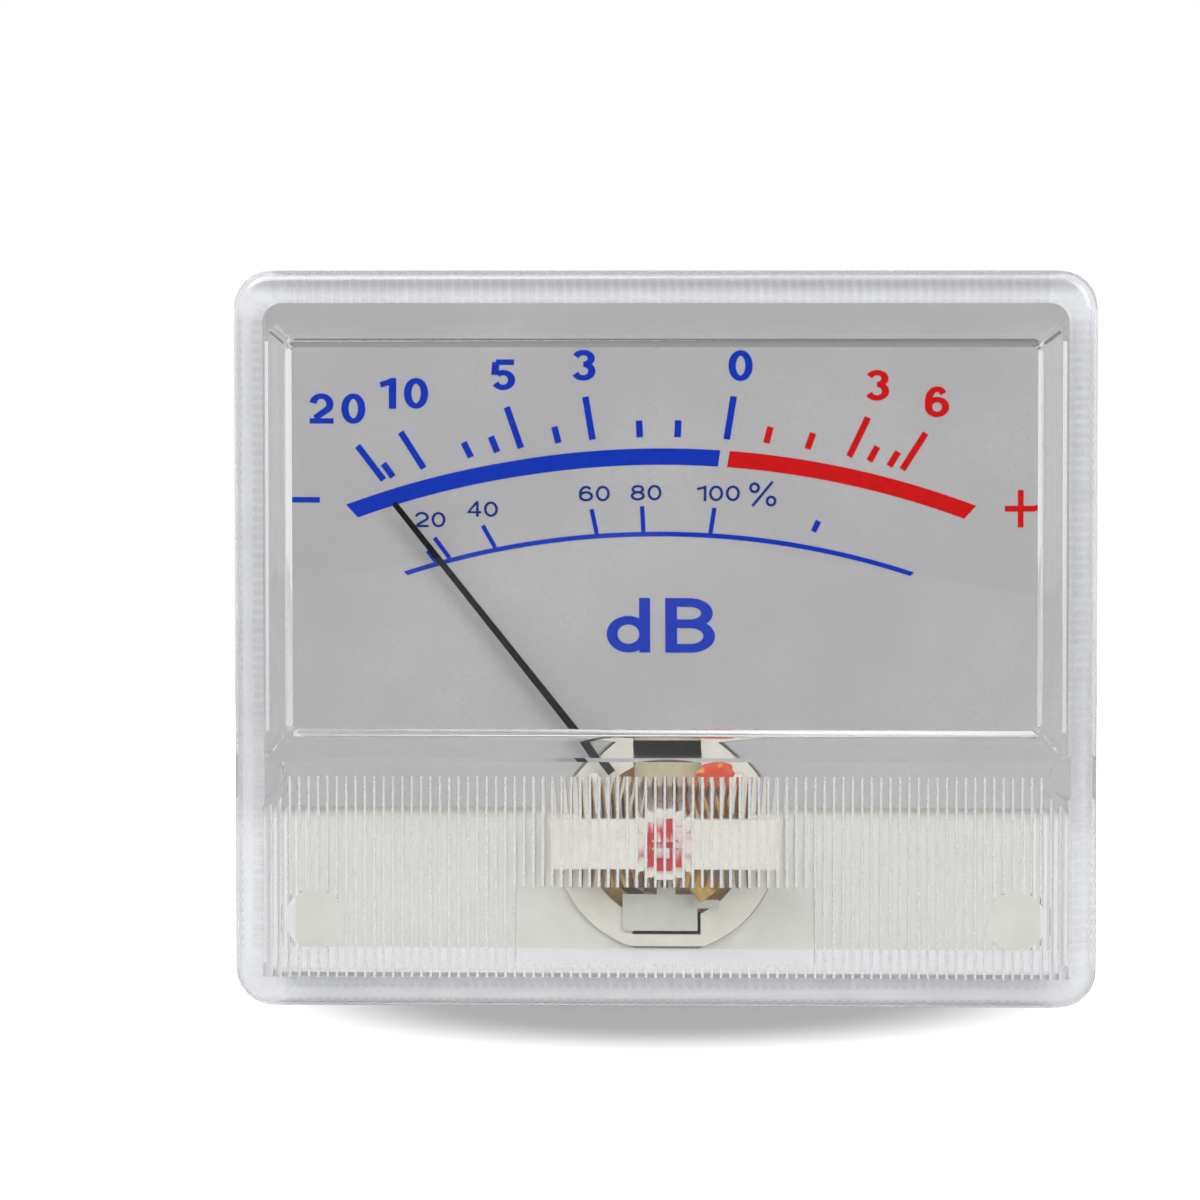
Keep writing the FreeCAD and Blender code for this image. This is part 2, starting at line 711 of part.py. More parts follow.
def staff(coil_y, mouth_y, outward):
    """One half of the staff, from the coil to its point in the jewel."""
    tip_y = mouth_y + outward * (CUP_DEPTH - STAFF_END_GAP)
    shoulder_y = tip_y - outward * STAFF_TIP_LENGTH
    bar = rod(0, pivot_z, STAFF_R, *sorted((coil_y, shoulder_y)))
    return bar.fuse(cone(STAFF_R, shoulder_y, tip_y))


def front_pivot():
    return staff(coil_front_y, bridge_rear_y + JEWEL_PROUD, -1)


def rear_pivot():
    return staff(coil_rear_y, rear_bridge_y - JEWEL_PROUD, 1)


def front_hub():
    """Brass hub between the coil and the pointer."""
    return tube(HUB_R, STAFF_R, pointer_rear_y, coil_front_y)


def rear_hub():
    return tube(HUB_R, STAFF_R, coil_rear_y, rear_bridge_y - REAR_HUB_END_GAP)


def balance_arms():
    """The pointer's tail and its two side arms."""
    half = ARM_WIDTH / 2
    tail = above_pivot(half, -ARM_LENGTH, 0, pointer_front_y, pointer_rear_y)
    sides = block(
        -ARM_LENGTH,
        ARM_LENGTH,
        pointer_front_y,
        pointer_rear_y,
        pivot_z - half,
        pivot_z + half,
    )
    return tail.fuse(sides)


def needle():
    root, tip = POINTER_ROOT_WIDTH / 2, POINTER_TIP_WIDTH / 2
    end = pivot_z + POINTER_LENGTH
    outline = [(-root, pivot_z), (-tip, end - tip), (0, end), (tip, end - tip)]
    outline.append((root, pivot_z))
    return prism(outline, pointer_front_y, pointer_rear_y)


def upright_pointer():
    eye = rod(0, pivot_z, POINTER_EYE_R, pointer_front_y, pointer_rear_y)
    sheet = eye.fuse([needle(), balance_arms()])
    return sheet.cut(rod(0, pivot_z, STAFF_R, pointer_front_y, pointer_rear_y))


def pointer():
    return at_rest(upright_pointer())


def radial_sleeve(radius, inner, length):
    """A round weight along the tail, from inner towards its end."""
    middle_y = (pointer_front_y + pointer_rear_y) / 2
    start = FreeCAD.Vector(0, middle_y, pivot_z - inner)
    return Part.makeCylinder(radius, length, start, FreeCAD.Vector(0, 0, -1))


def tail_weight_length():
    """The length that balances the pointer's weight about the staff."""
    sheet = upright_pointer()
    lift = sheet.CenterOfGravity.z - pivot_z
    moment = sheet.Volume * lift * ALUMINIUM_DENSITY
    arm_area = ARM_WIDTH * POINTER_THICKNESS
    area = math.pi * TAIL_WEIGHT_R**2 - arm_area
    per_square = area * BRASS_DENSITY / 2
    return math.sqrt(moment / per_square + TAIL_WEIGHT_FROM_PIVOT**2) - TAIL_WEIGHT_FROM_PIVOT


def balance_weights():
    arms = balance_arms()
    tail = radial_sleeve(TAIL_WEIGHT_R, TAIL_WEIGHT_FROM_PIVOT, tail_weight_length())
    inner = ARM_LENGTH - SIDE_WEIGHT_LENGTH
    side = radial_sleeve(SIDE_WEIGHT_R, inner, SIDE_WEIGHT_LENGTH)
    sleeves = [tail, swung(side, 90), swung(side, -90)]
    return Part.makeCompound([at_rest(sleeve.cut(arms)) for sleeve in sleeves])


# ---- jewels, hairsprings and zero setting --------------------------------------------
def jewel(mouth_y, outward):
    """A cup jewel whose mouth faces the coil; outward is the way its cup deepens."""
    end_y = mouth_y + outward * JEWEL_LENGTH
    body = rod(0, pivot_z, JEWEL_R, *sorted((mouth_y, end_y)))
    return body.cut(cone(CUP_MOUTH_R, mouth_y, mouth_y + outward * CUP_DEPTH))


def front_jewel():
    return jewel(bridge_rear_y + JEWEL_PROUD, -1)


def rear_jewel():
    return jewel(rear_bridge_y - JEWEL_PROUD, 1)


def front_jewel_screw():
    """A headless screw, slotted at its outer end, with the jewel set in its inner end."""
    mouth_y = bridge_rear_y + JEWEL_PROUD
    thread = rod(0, pivot_z, JEWEL_SCREW_R, head_front_y, mouth_y)
    pocket = rod(0, pivot_z, JEWEL_R, mouth_y - JEWEL_LENGTH, mouth_y)
    cut = slot(JEWEL_SCREW_R, SLOT_WIDTH, SLOT_DEPTH, head_front_y, 1, pivot_z)
    return thread.cut([pocket, cut])


def rear_jewel_screw():
    mouth_y = rear_bridge_y - JEWEL_PROUD
    end_y = rear_head_y + REAR_HEAD_THICKNESS
    thread = rod(0, pivot_z, JEWEL_SCREW_R, mouth_y, rear_head_y)
    head = rod(0, pivot_z, REAR_HEAD_R, rear_head_y, end_y)
    pocket = rod(0, pivot_z, JEWEL_R, mouth_y, mouth_y + JEWEL_LENGTH)
    cut = slot(REAR_HEAD_R, SLOT_WIDTH, SLOT_DEPTH, end_y, -1, pivot_z)
    return thread.fuse(head).cut([pocket, cut])


def lock_lacquer():
    """A ring of lacquer that seals the front jewel screw to the bridge."""
    front = bridge_front_y - LACQUER_THICKNESS
    return tube(LACQUER_R, JEWEL_SCREW_R, front, bridge_front_y)


def half_circle(centre_z, radius, side, y):
    """An arc from above centre_z to below it, bulging to one side."""
    top = FreeCAD.Vector(0, y, centre_z + radius)
    middle = FreeCAD.Vector(side * radius, y, centre_z)
    bottom = FreeCAD.Vector(0, y, centre_z - radius)
    return Part.Arc(top, middle, bottom).toShape()


def hairspring(y0):
    """A flat spiral of half circles, which ends straight below the staff."""
    outer, inner = [], []
    for i in range(SPRING_HALF_TURNS):
        radius = spring_start_r + i * SPRING_HALF_PITCH
        centre_z = pivot_z if i % 2 == 0 else pivot_z + SPRING_HALF_PITCH
        side = 1 if i % 2 == 0 else -1
        outer.append(half_circle(centre_z, radius + SPRING_STRIP / 2, side, y0))
        inner.append(half_circle(centre_z, radius - SPRING_STRIP / 2, side, y0))

    def across(arc_out, arc_in, high):
        ends = [max(a.Vertexes, key=lambda v: v.Z if high else -v.Z) for a in (arc_out, arc_in)]
        return Part.makeLine(ends[0].Point, ends[1].Point)

    start = across(outer[0], inner[0], True)
    end = across(outer[-1], inner[-1], False)
    outline = Part.Wire(Part.__sortEdges__(outer + inner + [start, end]))
    return Part.Face(outline).extrude(FreeCAD.Vector(0, SPRING_HEIGHT, 0))


def front_hairspring():
    return hairspring(ring_front_y + FRONT_SPRING_FROM_RING)


def rear_spring_y():
    return (coil_rear_y + rear_bridge_y) / 2 - SPRING_HEIGHT / 2


def rear_hairspring():
    return swung(hairspring(rear_spring_y()), 180)


def spring_tab():
    """The fixed end of the front hairspring, seated on the frame's front ring."""
    y0, y1 = ring_front_y - TAB_THICKNESS, ring_front_y
    plate = block(-TAB_LEFT, TAB_RIGHT, y0, y1, pivot_z - TAB_OUTER_R, pivot_z - TAB_INNER_R)
    lug_end = TAB_RIGHT + TAB_LUG_LENGTH
    lug_top = pivot_z - TAB_LUG_R
    lug = block(TAB_RIGHT, lug_end, y0, y1, lug_top - TAB_LUG_WIDTH, lug_top)
    tongue = above_pivot(
        TAB_LIP_WIDTH / 2, -TAB_INNER_R, -spring_anchor_r, y0, y1 + TAB_LIP_DEPTH
    )
    return plate.fuse([lug, tongue])


def zero_lever():
    ring = tube(LEVER_RING_R, JEWEL_SCREW_R + LEVER_HOLE_GAP, lever_front_y, lever_rear_y)
    fork_base = pin_at_r - ADJUSTER_THROW - ADJUSTER_PIN_R
    arm = above_pivot(
        LEVER_ARM_WIDTH / 2, LEVER_RING_R - LEVER_TAB_THICKNESS, fork_base, lever_front_y, lever_rear_y
    )
    half_slot = ADJUSTER_PIN_R + FORK_GAP
    outer = pin_at_r + FORK_OVERREACH
    fork = above_pivot(
        half_slot + FORK_PRONG, fork_base - FORK_PRONG, outer, lever_front_y, lever_rear_y
    )
    fork = fork.cut(above_pivot(half_slot, fork_base, outer, lever_front_y, lever_rear_y))
    tab = above_pivot(
        LEVER_TAB_WIDTH / 2,
        spring_anchor_r,
        spring_anchor_r + LEVER_TAB_THICKNESS,
        rear_spring_y(),
        lever_rear_y,
    )
    return ring.fuse([arm, fork, tab])


def zero_screw():
    flange_rear = floor_y - ADJUSTER_RUNNING_GAP
    flange_front = flange_rear - ADJUSTER_FLANGE_THICKNESS
    head_y = case_rear_y + ADJUSTER_RUNNING_GAP
    end_y = head_y + ADJUSTER_HEAD_THICKNESS
    flange = rod(0, adjuster_z, ADJUSTER_FLANGE_R, flange_front, flange_rear)
    body = rod(0, adjuster_z, ADJUSTER_R, flange_rear, head_y)
    head = rod(0, adjuster_z, ADJUSTER_HEAD_R, head_y, end_y)
    pin_z = adjuster_z + ADJUSTER_THROW
    pin_front = lever_front_y - ADJUSTER_PIN_OVERREACH
    pin = rod(0, pin_z, ADJUSTER_PIN_R, pin_front, flange_front)
    slot_size = ADJUSTER_SLOT_WIDTH, ADJUSTER_SLOT_DEPTH
    cut = slot(ADJUSTER_HEAD_R, *slot_size, end_y, -1, adjuster_z)
    return flange.fuse([body, head, pin]).cut(cut)


# ---- terminals and lamps -------------------------------------------------------------
def shouldered_pins(z, spacing, pin_r, shank_r, front_y):
    """Two pins, each with a thicker shank pressed into the floor."""
    def pin(x):
        shank = rod(x, z, shank_r, front_y, case_rear_y)
        return shank.fuse(rod(x, z, pin_r, case_rear_y, pin_end_y))

    return Part.makeCompound(pair(pin, spacing / 2))


def signal_pins():
    front_y = floor_y - SIGNAL_TAIL
    return shouldered_pins(
        SIGNAL_PIN_Z, SIGNAL_PIN_SPACING, SIGNAL_PIN_R, SIGNAL_SHANK_R, front_y
    )


def lamp_pins():
    front_y = board_front_y - LAMP_PIN_TAIL
    return shouldered_pins(board_z, LAMP_PIN_SPACING, LAMP_PIN_R, LAMP_SHANK_R, front_y)


def lamp_board():
    half_l, half_h = BOARD_LENGTH / 2, BOARD_HEIGHT / 2
    board = block(
        -half_l, half_l, board_front_y, board_rear_y, board_z - half_h, board_z + half_h
    )
    holes = pair(
        lambda x: rod(x, board_z, LAMP_SHANK_R, board_front_y, board_rear_y),
        LAMP_PIN_SPACING / 2,
    )
    return board.cut(holes)


def lamps():
    """Two surface-mounted lamps, each with a low square lens."""
    def lamp(x):
        half_w, half_h = LAMP_WIDTH / 2, LAMP_HEIGHT / 2
        front = board_front_y - LAMP_THICKNESS
        body = block(
            x - half_w, x + half_w, front, board_front_y, board_z - half_h, board_z + half_h
        )
        half_w, half_h = half_w - LAMP_LENS_INSET, half_h - LAMP_LENS_INSET
        lens = block(
            x - half_w,
            x + half_w,
            front - LAMP_LENS_RISE,
            front,
            board_z - half_h,
            board_z + half_h,
        )
        return body.fuse(lens)

    return Part.makeCompound(pair(lamp, LAMP_SPACING / 2))


NODES = (
    front_cover,
    rear_case,
    dial_support,
    dial_plate,
    frame_front,
    frame_rear,
    movement_screws,
    yoke_ring,
    core_magnet,
    core_clamps,
    clamp_caps,
    front_jewel_screw,
    lock_lacquer,
    front_jewel,
    rear_jewel_screw,
    rear_jewel,
    spring_tab,
    front_hairspring,
    rear_hairspring,
    pointer,
    balance_weights,
    front_hub,
    rear_hub,
    front_pivot,
    rear_pivot,
    coil_former,
    coil_winding,
    zero_lever,
    zero_screw,
    signal_pins,
    lamp_pins,
    lamp_board,
    lamps,
)


def main():
    os.makedirs("parts", exist_ok=True)
    for make in NODES:
        make().exportStep(f"parts/{make.__name__}.step")


main()
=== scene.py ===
import math

import bmesh
import bpy
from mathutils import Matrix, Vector, noise


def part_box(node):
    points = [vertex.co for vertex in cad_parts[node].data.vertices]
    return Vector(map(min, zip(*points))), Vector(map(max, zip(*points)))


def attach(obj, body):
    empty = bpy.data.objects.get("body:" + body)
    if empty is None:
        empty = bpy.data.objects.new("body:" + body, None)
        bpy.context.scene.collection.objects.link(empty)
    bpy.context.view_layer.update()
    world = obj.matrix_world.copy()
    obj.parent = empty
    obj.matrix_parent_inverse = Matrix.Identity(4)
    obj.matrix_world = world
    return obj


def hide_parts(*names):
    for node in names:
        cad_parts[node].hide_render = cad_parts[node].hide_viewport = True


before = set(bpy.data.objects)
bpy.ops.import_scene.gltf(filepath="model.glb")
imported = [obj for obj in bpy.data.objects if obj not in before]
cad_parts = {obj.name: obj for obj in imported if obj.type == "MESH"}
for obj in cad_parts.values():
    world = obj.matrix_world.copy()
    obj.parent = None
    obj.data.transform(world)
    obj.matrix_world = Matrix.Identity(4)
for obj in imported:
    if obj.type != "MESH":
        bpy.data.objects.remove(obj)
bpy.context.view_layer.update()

# Sizes are in millimetres and angles in degrees, except where a name says otherwise.
MM = 0.001

# ---- camera and light ----------------------------------------------------------------
CAMERA_AZIMUTH = 2.1
CAMERA_ELEVATION = 3.0
CAMERA_DISTANCE = 400.0
CAMERA_LENS = 188.5
CAMERA_SENSOR = 36.0
# The nearest and farthest that the camera sees, in metres.
CAMERA_CLIP = (0.01, 20.0)
IMAGE_SIZE = 1200
FACE_CENTRE_PX = (664.5, 640.0)
# The room's light: for spread rays, and for mirrored and bent rays toward -Y and toward +Z.
SKY_LIGHT = 0.61
DARK_SIDE = 0.04
DARK_SIDE_RANGE = (-0.985, -0.8)
TOP_SHADE = 0.22
TOP_SHADE_RANGE = (0.3, 0.95)
# Name, place in metres, side in metres and watts of each lamp.
LAMPS = (
    ("key", (-0.3, -0.56, 0.56), 0.5, 3.65),
    ("top", (0.1, 0.25, 0.7), 0.6, 0.4),
    ("fill", (0.42, -0.7, 0.3), 0.5, 3.05),
)
# Left, right, front and back edge of the floor, in metres.
FLOOR_EDGES = (-0.5, 0.5, -0.29, 0.3)
# The floor's grey for the light that it throws back, and where it is seen.
FLOOR_COLOR = 0.8
FLOOR_SEEN_COLOR = 0.405
# Half width and half depth of the floor's shaded oval, in metres, and between which multiples
# of it the glow that whitens the floor sets in.
FLOOR_OVAL = (0.0185, 0.024)
FLOOR_GLOW_RANGE = (0.8, 1.7)
# The glow far from the object, and the one near it for rays that come through the plastic.
FLOOR_GLOW = 0.95
FLOOR_GLOW_THROUGH = 0.5

# How far a tool that shapes the cover reaches past the surface that it meets.
CUT_OVERRUN = 1.0
POCKET_OVERRUN = 0.5
TOOTH_OVERRUN = 0.5
FLUTE_OVERRUN = 0.3
POST_OVERRUN = 0.3
NOTCH_OVERRUN = 0.2

# ---- clear cover ---------------------------------------------------------------------
FACE_CORNER_R = 2.4
FACE_EDGE_R = 0.8
COVER_SIDE_WALL = 1.5
COVER_END_WALL = 1.8
COVER_FRONT_WALL = 1.5
CAVITY_CORNER_R = 1.2
WINDOW_WIDTH = 48.0
WINDOW_HEIGHT = 25.3
WINDOW_TOP_MARGIN = 4.4
WINDOW_RISE = 1.5
WINDOW_SIDE_SLOPE = 1.25
WINDOW_TOP_SLOPE = 0.95
WINDOW_BOTTOM_SLOPE = 1.6
WINDOW_SIDE_INSET = 0.33
WINDOW_TOP_INSET = 0.5
WINDOW_BOTTOM_INSET = 0.57
POCKET_FOOT_BOTTOM_INSET = 0.67
# Each foot notch: where it starts across the cover, its size, and its lower and upper end.
FOOT_NOTCH_START = 25.3
FOOT_NOTCH_SIZE = 0.26
FOOT_NOTCH_ENDS = (-5.9, 19.0)
CAVITY_DRAFT = 0.3
WINDOW_CORNER_R = 0.35
WINDOW_EDGE_R = 0.22
FLUTE_PITCH = 0.6
FLUTE_DEPTH = 0.18
FLUTE_TIP_GAP = 0.004
FLUTE_TOP_GAP = 1.0
COVER_SMOOTH_ANGLE = 25
PLAIN_PANEL_WIDTH = 18.3
PLAIN_PANEL_HEIGHT = 4.9
PLAIN_PANEL_CENTRE_Z = -18.35
PAD_R = 1.9
PAD_FROM_SIDE = 5.05
PAD_FROM_BOTTOM = 5.5
POST_R = 1.4
POST_PLAIN_R = 1.9
POST_BELOW_WINDOW = 1.1
POST_TO_DIAL_GAP = 0.01
TOOTH_PITCH = 0.6
TOOTH_WIDTH = 0.3
TOOTH_DEPTH = 0.35
TOOTH_FROM_EDGE = 0.85

# A drop of varnish on the movement: its middle, half width and half height, and rise.
VARNISH_AT = (3.2, -2.9, -9.0)
VARNISH_REACH = (1.35, 0.85)
VARNISH_RISE = 0.3
# Its edge's unevenness: how much, how fast round the drop, and which slice of the noise.
VARNISH_WAVE = (0.35, 1.6, 3.7)
VARNISH_SMOOTH_ANGLE = 60

# ---- print on the dial ---------------------------------------------------------------
# Outlines that may cross, such as a letter's strokes, step forward by a hair to stay apart.
PRINT_HEIGHT = 0.02
PRINT_STEP = 0.0015
PRINT_STEPS = 8
# The arcs' centre and the point that the ticks aim at, as (x, z).
SCALE_CENTRE = (-0.49, -45.72)
POINTS_AT = (-0.28, -13.2)
THICK_ARC_R = 57.81
THICK_ARC_WIDTH = 1.03
THIN_ARC_R = 52.56
THIN_ARC_WIDTH = 0.3
ARC_ENDS = (-43.0, 43.0)
ZERO_ANGLE = 9.25
ZERO_HALF_GAP = 0.68
THIN_ARC_ENDS = (-43.5, 42.9)
TICK_GAP = 0.72
TICK_WIDTH = 0.42
LONG_TICK = 2.74
SHORT_TICK = 1.06
LOWER_TICK = 1.62
LOWER_TICK_WIDTH = 0.28
BLUE_LONG_TICKS = (-37.39, -32.33, -19.48, -9.63, 9.22)
BLUE_SHORT_TICKS = (-36.2, -26.17, -22.67, -14.36, -2.99, 2.32)
RED_LONG_TICKS = (25.93, 32.83)
RED_SHORT_TICKS = (14.72, 20.35, 28.59, 31.18)
LOWER_TICKS = (-36.6, -29.3, -11.7, -3.2, 9.03)
# The lower scale's odd ticks: angle, gap from the arc, length and width.
ODD_LOWER_TICKS = ((-38.68, 0.0, 0.9, LOWER_TICK_WIDTH), (25.98, 0.9, 0.75, 0.36))
# Steps along a curve and round a letter's closed oval.
CURVE_STEPS = 20
RING_STEPS = 32
# How far a stroke's corner may stick out, in half strokes, and how near its closed ends are.
MITER_LIMIT = 1.6
SAME_PLACE = 1e-6
# Shares of a letter's size: how wide a "1" is, how high a 5's or 6's bowl is to its middle, and
# how far the waist of a 3, 8 or B lies above the middle.
ONE_WIDTH = 0.66
BOWL_HEIGHT = 0.33
WAIST_RISE = 0.03
# Height, width, upright stroke, level stroke and letter gap of each style.
BOLD = (1.93, 1.55, 0.47, 0.34, 0.5)
SMALL = (0.98, 0.9, 0.17, 0.15, 0.17)
PERCENT = (1.53, 1.75, 0.17, 0.17, 0.0)
LARGE_D = (3.5, 2.8, 0.7, 0.55, 0.0)
LARGE_B = (3.5, 3.2, 0.76, 0.56, 0.0)
BLUE_WORDS = (
    ("20", -21.03, 14.66, BOLD),
    ("10", -16.73, 15.63, BOLD),
    ("5", -10.39, 16.77, BOLD),
    ("3", -5.26, 17.35, BOLD),
    ("0", 4.79, 17.28, BOLD),
    ("d", -2.4, 0.85, LARGE_D),
    ("B", 1.57, 0.85, LARGE_B),
)
DARK_WORDS = (
    ("20", -15.11, 7.57, SMALL),
    ("40", -11.73, 8.25, SMALL),
    ("60", -4.54, 9.26, SMALL),
    ("80", -1.23, 9.3, SMALL),
    ("100", 3.4, 9.24, SMALL),
    ("%", 6.23, 9.2, PERCENT),
)
RED_WORDS = (("3", 13.5, 16.0, BOLD), ("6", 17.33, 14.95, BOLD))
# The signs' strokes, each from one (x, z) to another, and their width.
MINUS = (((-24.27, 8.81), (-22.21, 8.81)),)
MINUS_WIDTH = 0.35
PLUS = (((21.68, 8.2), (23.69, 8.2)), ((22.69, 7.02), (22.69, 9.38)))
PLUS_WIDTH = 0.37


def node_box(name):
    """The lowest and highest corner of a CAD node, in millimetres."""
    low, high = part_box(name)
    return low / MM, high / MM


cover_low, cover_high = node_box("front_cover")
rim_y = cover_high.y
core_low, core_high = node_box("core_magnet")
half_width = cover_high.x
half_height = cover_high.z
window_y = cover_low.y
face_y = window_y + WINDOW_RISE
pocket_y = window_y + COVER_FRONT_WALL
inner_face_y = face_y + COVER_FRONT_WALL
window_top = half_height - WINDOW_TOP_MARGIN
window_foot = window_top - WINDOW_HEIGHT - WINDOW_BOTTOM_SLOPE
print_y = node_box("dial_plate")[0].y
pivot_z = (core_low.z + core_high.z) / 2


# ---- mesh helpers --------------------------------------------------------------------
def new_piece(name, points, faces, smooth_angle=None):
    """A mesh object from points in millimetres, with smooth shading below an angle."""
    mesh = bpy.data.meshes.new(name)
    mesh.from_pydata([Vector(p) * MM for p in points], [], faces)
    piece = bpy.data.objects.new(name, mesh)
    bpy.context.scene.collection.objects.link(piece)
    if smooth_angle is not None:
        shade_smooth(mesh, smooth_angle)
    return piece


def shade_smooth(mesh, angle):
    mesh.polygons.foreach_set("use_smooth", [True] * len(mesh.polygons))
    mesh.set_sharp_from_angle(angle=math.radians(angle))


def rounded_outline(half_x, low_z, high_z, radius, steps=6):
    """(x, z) points round a rectangle centred on x = 0, with rounded corners."""
    centres = (
        (half_x - radius, high_z - radius, 0),
        (radius - half_x, high_z - radius, 90),
        (radius - half_x, low_z + radius, 180),
        (half_x - radius, low_z + radius, 270),
    )
    points = []
    for x, z, start in centres:
        for i in range(steps + 1):
            angle = math.radians(start + 90 * i / steps)
            points.append((x + radius * math.cos(angle), z + radius * math.sin(angle)))
    return points


def loft(name, rings):
    """A closed solid through rings, each an (x, z) outline with its y."""
    count = len(rings[0][0])
    points = [(x, y, z) for outline, y in rings for x, z in outline]
    faces = [tuple(range(count)), tuple(reversed(range(len(points) - count, len(points))))]
    for ring in range(len(rings) - 1):
        for i in range(count):
            a = ring * count + i
            b = ring * count + (i + 1) % count
            faces.append((b, a, a + count, b + count))
    return outward(new_piece(name, points, faces))


def outward(piece):
    """Turns the piece's faces so that their normals point out."""
    mesh = bmesh.new()
    mesh.from_mesh(piece.data)
    bmesh.ops.recalc_face_normals(mesh, faces=mesh.faces)
    mesh.to_mesh(piece.data)
    mesh.free()
    return piece


def prisms(name, profiles, low, high):
    """One object made of upright prisms, each on an (x, y) profile."""
    points, faces = [], []
    for profile in profiles:
        first, size = len(points), len(profile)
        points += [(x, y, z) for z in (low, high) for x, y in profile]
        faces.append(tuple(range(first, first + size)))
        faces.append(tuple(reversed(range(first + size, first + 2 * size))))
        for i in range(size):
            a, b = first + i, first + (i + 1) % size
            faces.append((b, a, a + size, b + size))
    return outward(new_piece(name, points, faces))


BOX_FACES = ((0, 1, 3, 2), (4, 6, 7, 5), (0, 4, 5, 1), (2, 3, 7, 6), (0, 2, 6, 4), (1, 5, 7, 3))


def boxes(name, spans):
    """One object made of separate boxes, each given as x0, x1, y0, y1, z0, z1."""
    points, faces = [], []
    for x0, x1, y0, y1, z0, z1 in spans:
        start = len(points)
        points += [(x, y, z) for x in (x0, x1) for y in (y0, y1) for z in (z0, z1)]
        faces += [tuple(start + i for i in face) for face in BOX_FACES]
    return outward(new_piece(name, points, faces))


def bar_along_y(name, x, z, radius, y0, y1, steps=32):
    turns = [2 * math.pi * i / steps for i in range(steps)]
    outline = [(x + radius * math.cos(t), z + radius * math.sin(t)) for t in turns]
    return loft(name, [(outline, y0), (outline, y1)])


def combine(base, tool, operation):
    """Joins, cuts or intersects base with tool, and deletes the tool."""
    modifier = base.modifiers.new(operation, "BOOLEAN")
    modifier.operation = operation
    modifier.solver = "EXACT"
    modifier.object = tool
    graph = bpy.context.evaluated_depsgraph_get()
    result = bpy.data.meshes.new_from_object(base.evaluated_get(graph))
    base.modifiers.clear()
    base.data = result
    bpy.data.objects.remove(tool)
    return base


# ---- clear cover ---------------------------------------------------------------------
def window_outline(share, side_inset, top_inset, bottom_inset):
    """The window's outline from its foot (share 0) to its pane (share 1)."""
    rest = 1 - share
    return rounded_outline(
        WINDOW_WIDTH / 2 + rest * WINDOW_SIDE_SLOPE - side_inset,
        window_top - WINDOW_HEIGHT - rest * WINDOW_BOTTOM_SLOPE + bottom_inset,
        window_top + rest * WINDOW_TOP_SLOPE - top_inset,
        WINDOW_CORNER_R,
    )


def cover_body():
    """The outer block of the cover, its front edge rounded."""
    rings = [(rounded_outline(half_width, -half_height, half_height, FACE_CORNER_R), rim_y)]
    steps = 6
    for i in range(steps + 1):
        turn = math.radians(90 * i / steps)
        inset = FACE_EDGE_R * (1 - math.cos(turn))
        x, z = half_width - inset, half_height - inset
        outline = rounded_outline(x, -z, z, FACE_CORNER_R - inset)
        rings.append((outline, face_y + FACE_EDGE_R * (1 - math.sin(turn))))
    return loft("cover_body", rings)


def raised_window():
    """The window's block, whose pane has a small round edge."""
    rings = [
        (window_outline(0, 0, 0, 0), face_y + COVER_FRONT_WALL / 2),
        (window_outline(0, 0, 0, 0), face_y),
    ]
    steps = 4
    reach = WINDOW_EDGE_R / WINDOW_RISE
    for i in range(steps + 1):
        turn = math.radians(90 * i / steps)
        share = 1 - reach * (1 - math.sin(turn))
        inset = WINDOW_EDGE_R * (1 - math.cos(turn))
        outline = window_outline(share, inset, inset, inset)
        rings.append((outline, window_y + WINDOW_RISE * (1 - share)))
    return loft("raised_window", rings)


def cover_cavity():
    """The hollow behind the front wall, a little narrower at its front."""
    rings = []
    for inset, y in ((CAVITY_DRAFT, inner_face_y), (0, rim_y), (0, rim_y + CUT_OVERRUN)):
        x, z = half_width - COVER_SIDE_WALL - inset, half_height - COVER_END_WALL - inset
        rings.append((rounded_outline(x, -z, z, CAVITY_CORNER_R), y))
    return loft("cavity", rings)


def window_pocket():
    """The hollow behind the window's pane, whose slopes bend the light round the pane."""
    insets = WINDOW_SIDE_INSET, WINDOW_TOP_INSET
    pane = window_outline(1, *insets, WINDOW_BOTTOM_INSET)
    foot = window_outline(0, *insets, POCKET_FOOT_BOTTOM_INSET)
    rings = [(foot, inner_face_y + POCKET_OVERRUN), (foot, inner_face_y), (pane, pocket_y)]
    return loft("pocket", rings)


def foot_notches():
    """A small notch inside the front wall along each upright foot of the window."""
    start, end = FOOT_NOTCH_START, FOOT_NOTCH_START + FOOT_NOTCH_SIZE
    outline = (
        (start, inner_face_y - FOOT_NOTCH_SIZE),
        (end, inner_face_y),
        (end, inner_face_y + NOTCH_OVERRUN),
        (start, inner_face_y + NOTCH_OVERRUN),
    )
    profiles = [[(side * x, y) for x, y in outline] for side in (-1, 1)]
    return prisms("notches", profiles, *FOOT_NOTCH_ENDS)


def flute_cutter():
    """Takes the space between half-round flutes out of the lower front wall."""
    top = window_foot - FLUTE_TOP_GAP
    bottom = COVER_END_WALL - half_height
    count = int(2 * (half_width - COVER_SIDE_WALL) / FLUTE_PITCH)
    half_pitch = FLUTE_PITCH / 2
    flute_r = (half_pitch**2 + FLUTE_DEPTH**2) / (2 * FLUTE_DEPTH)
    half_turn = math.asin(half_pitch / flute_r)
    steps = 8
    profile = []
    for flute in range(count):
        middle = (flute - (count - 1) / 2) * FLUTE_PITCH
        for i in range(steps if flute < count - 1 else steps + 1):
            turn = half_turn * (2 * i / steps - 1)
            depth = flute_r * (1 - math.cos(turn)) + FLUTE_TIP_GAP
            profile.append((middle + flute_r * math.sin(turn), inner_face_y - depth))
    edge = count * half_pitch
    profile += [(side * edge, inner_face_y + FLUTE_OVERRUN) for side in (1, -1)]
    return prisms("flutes", [profile], bottom, top)


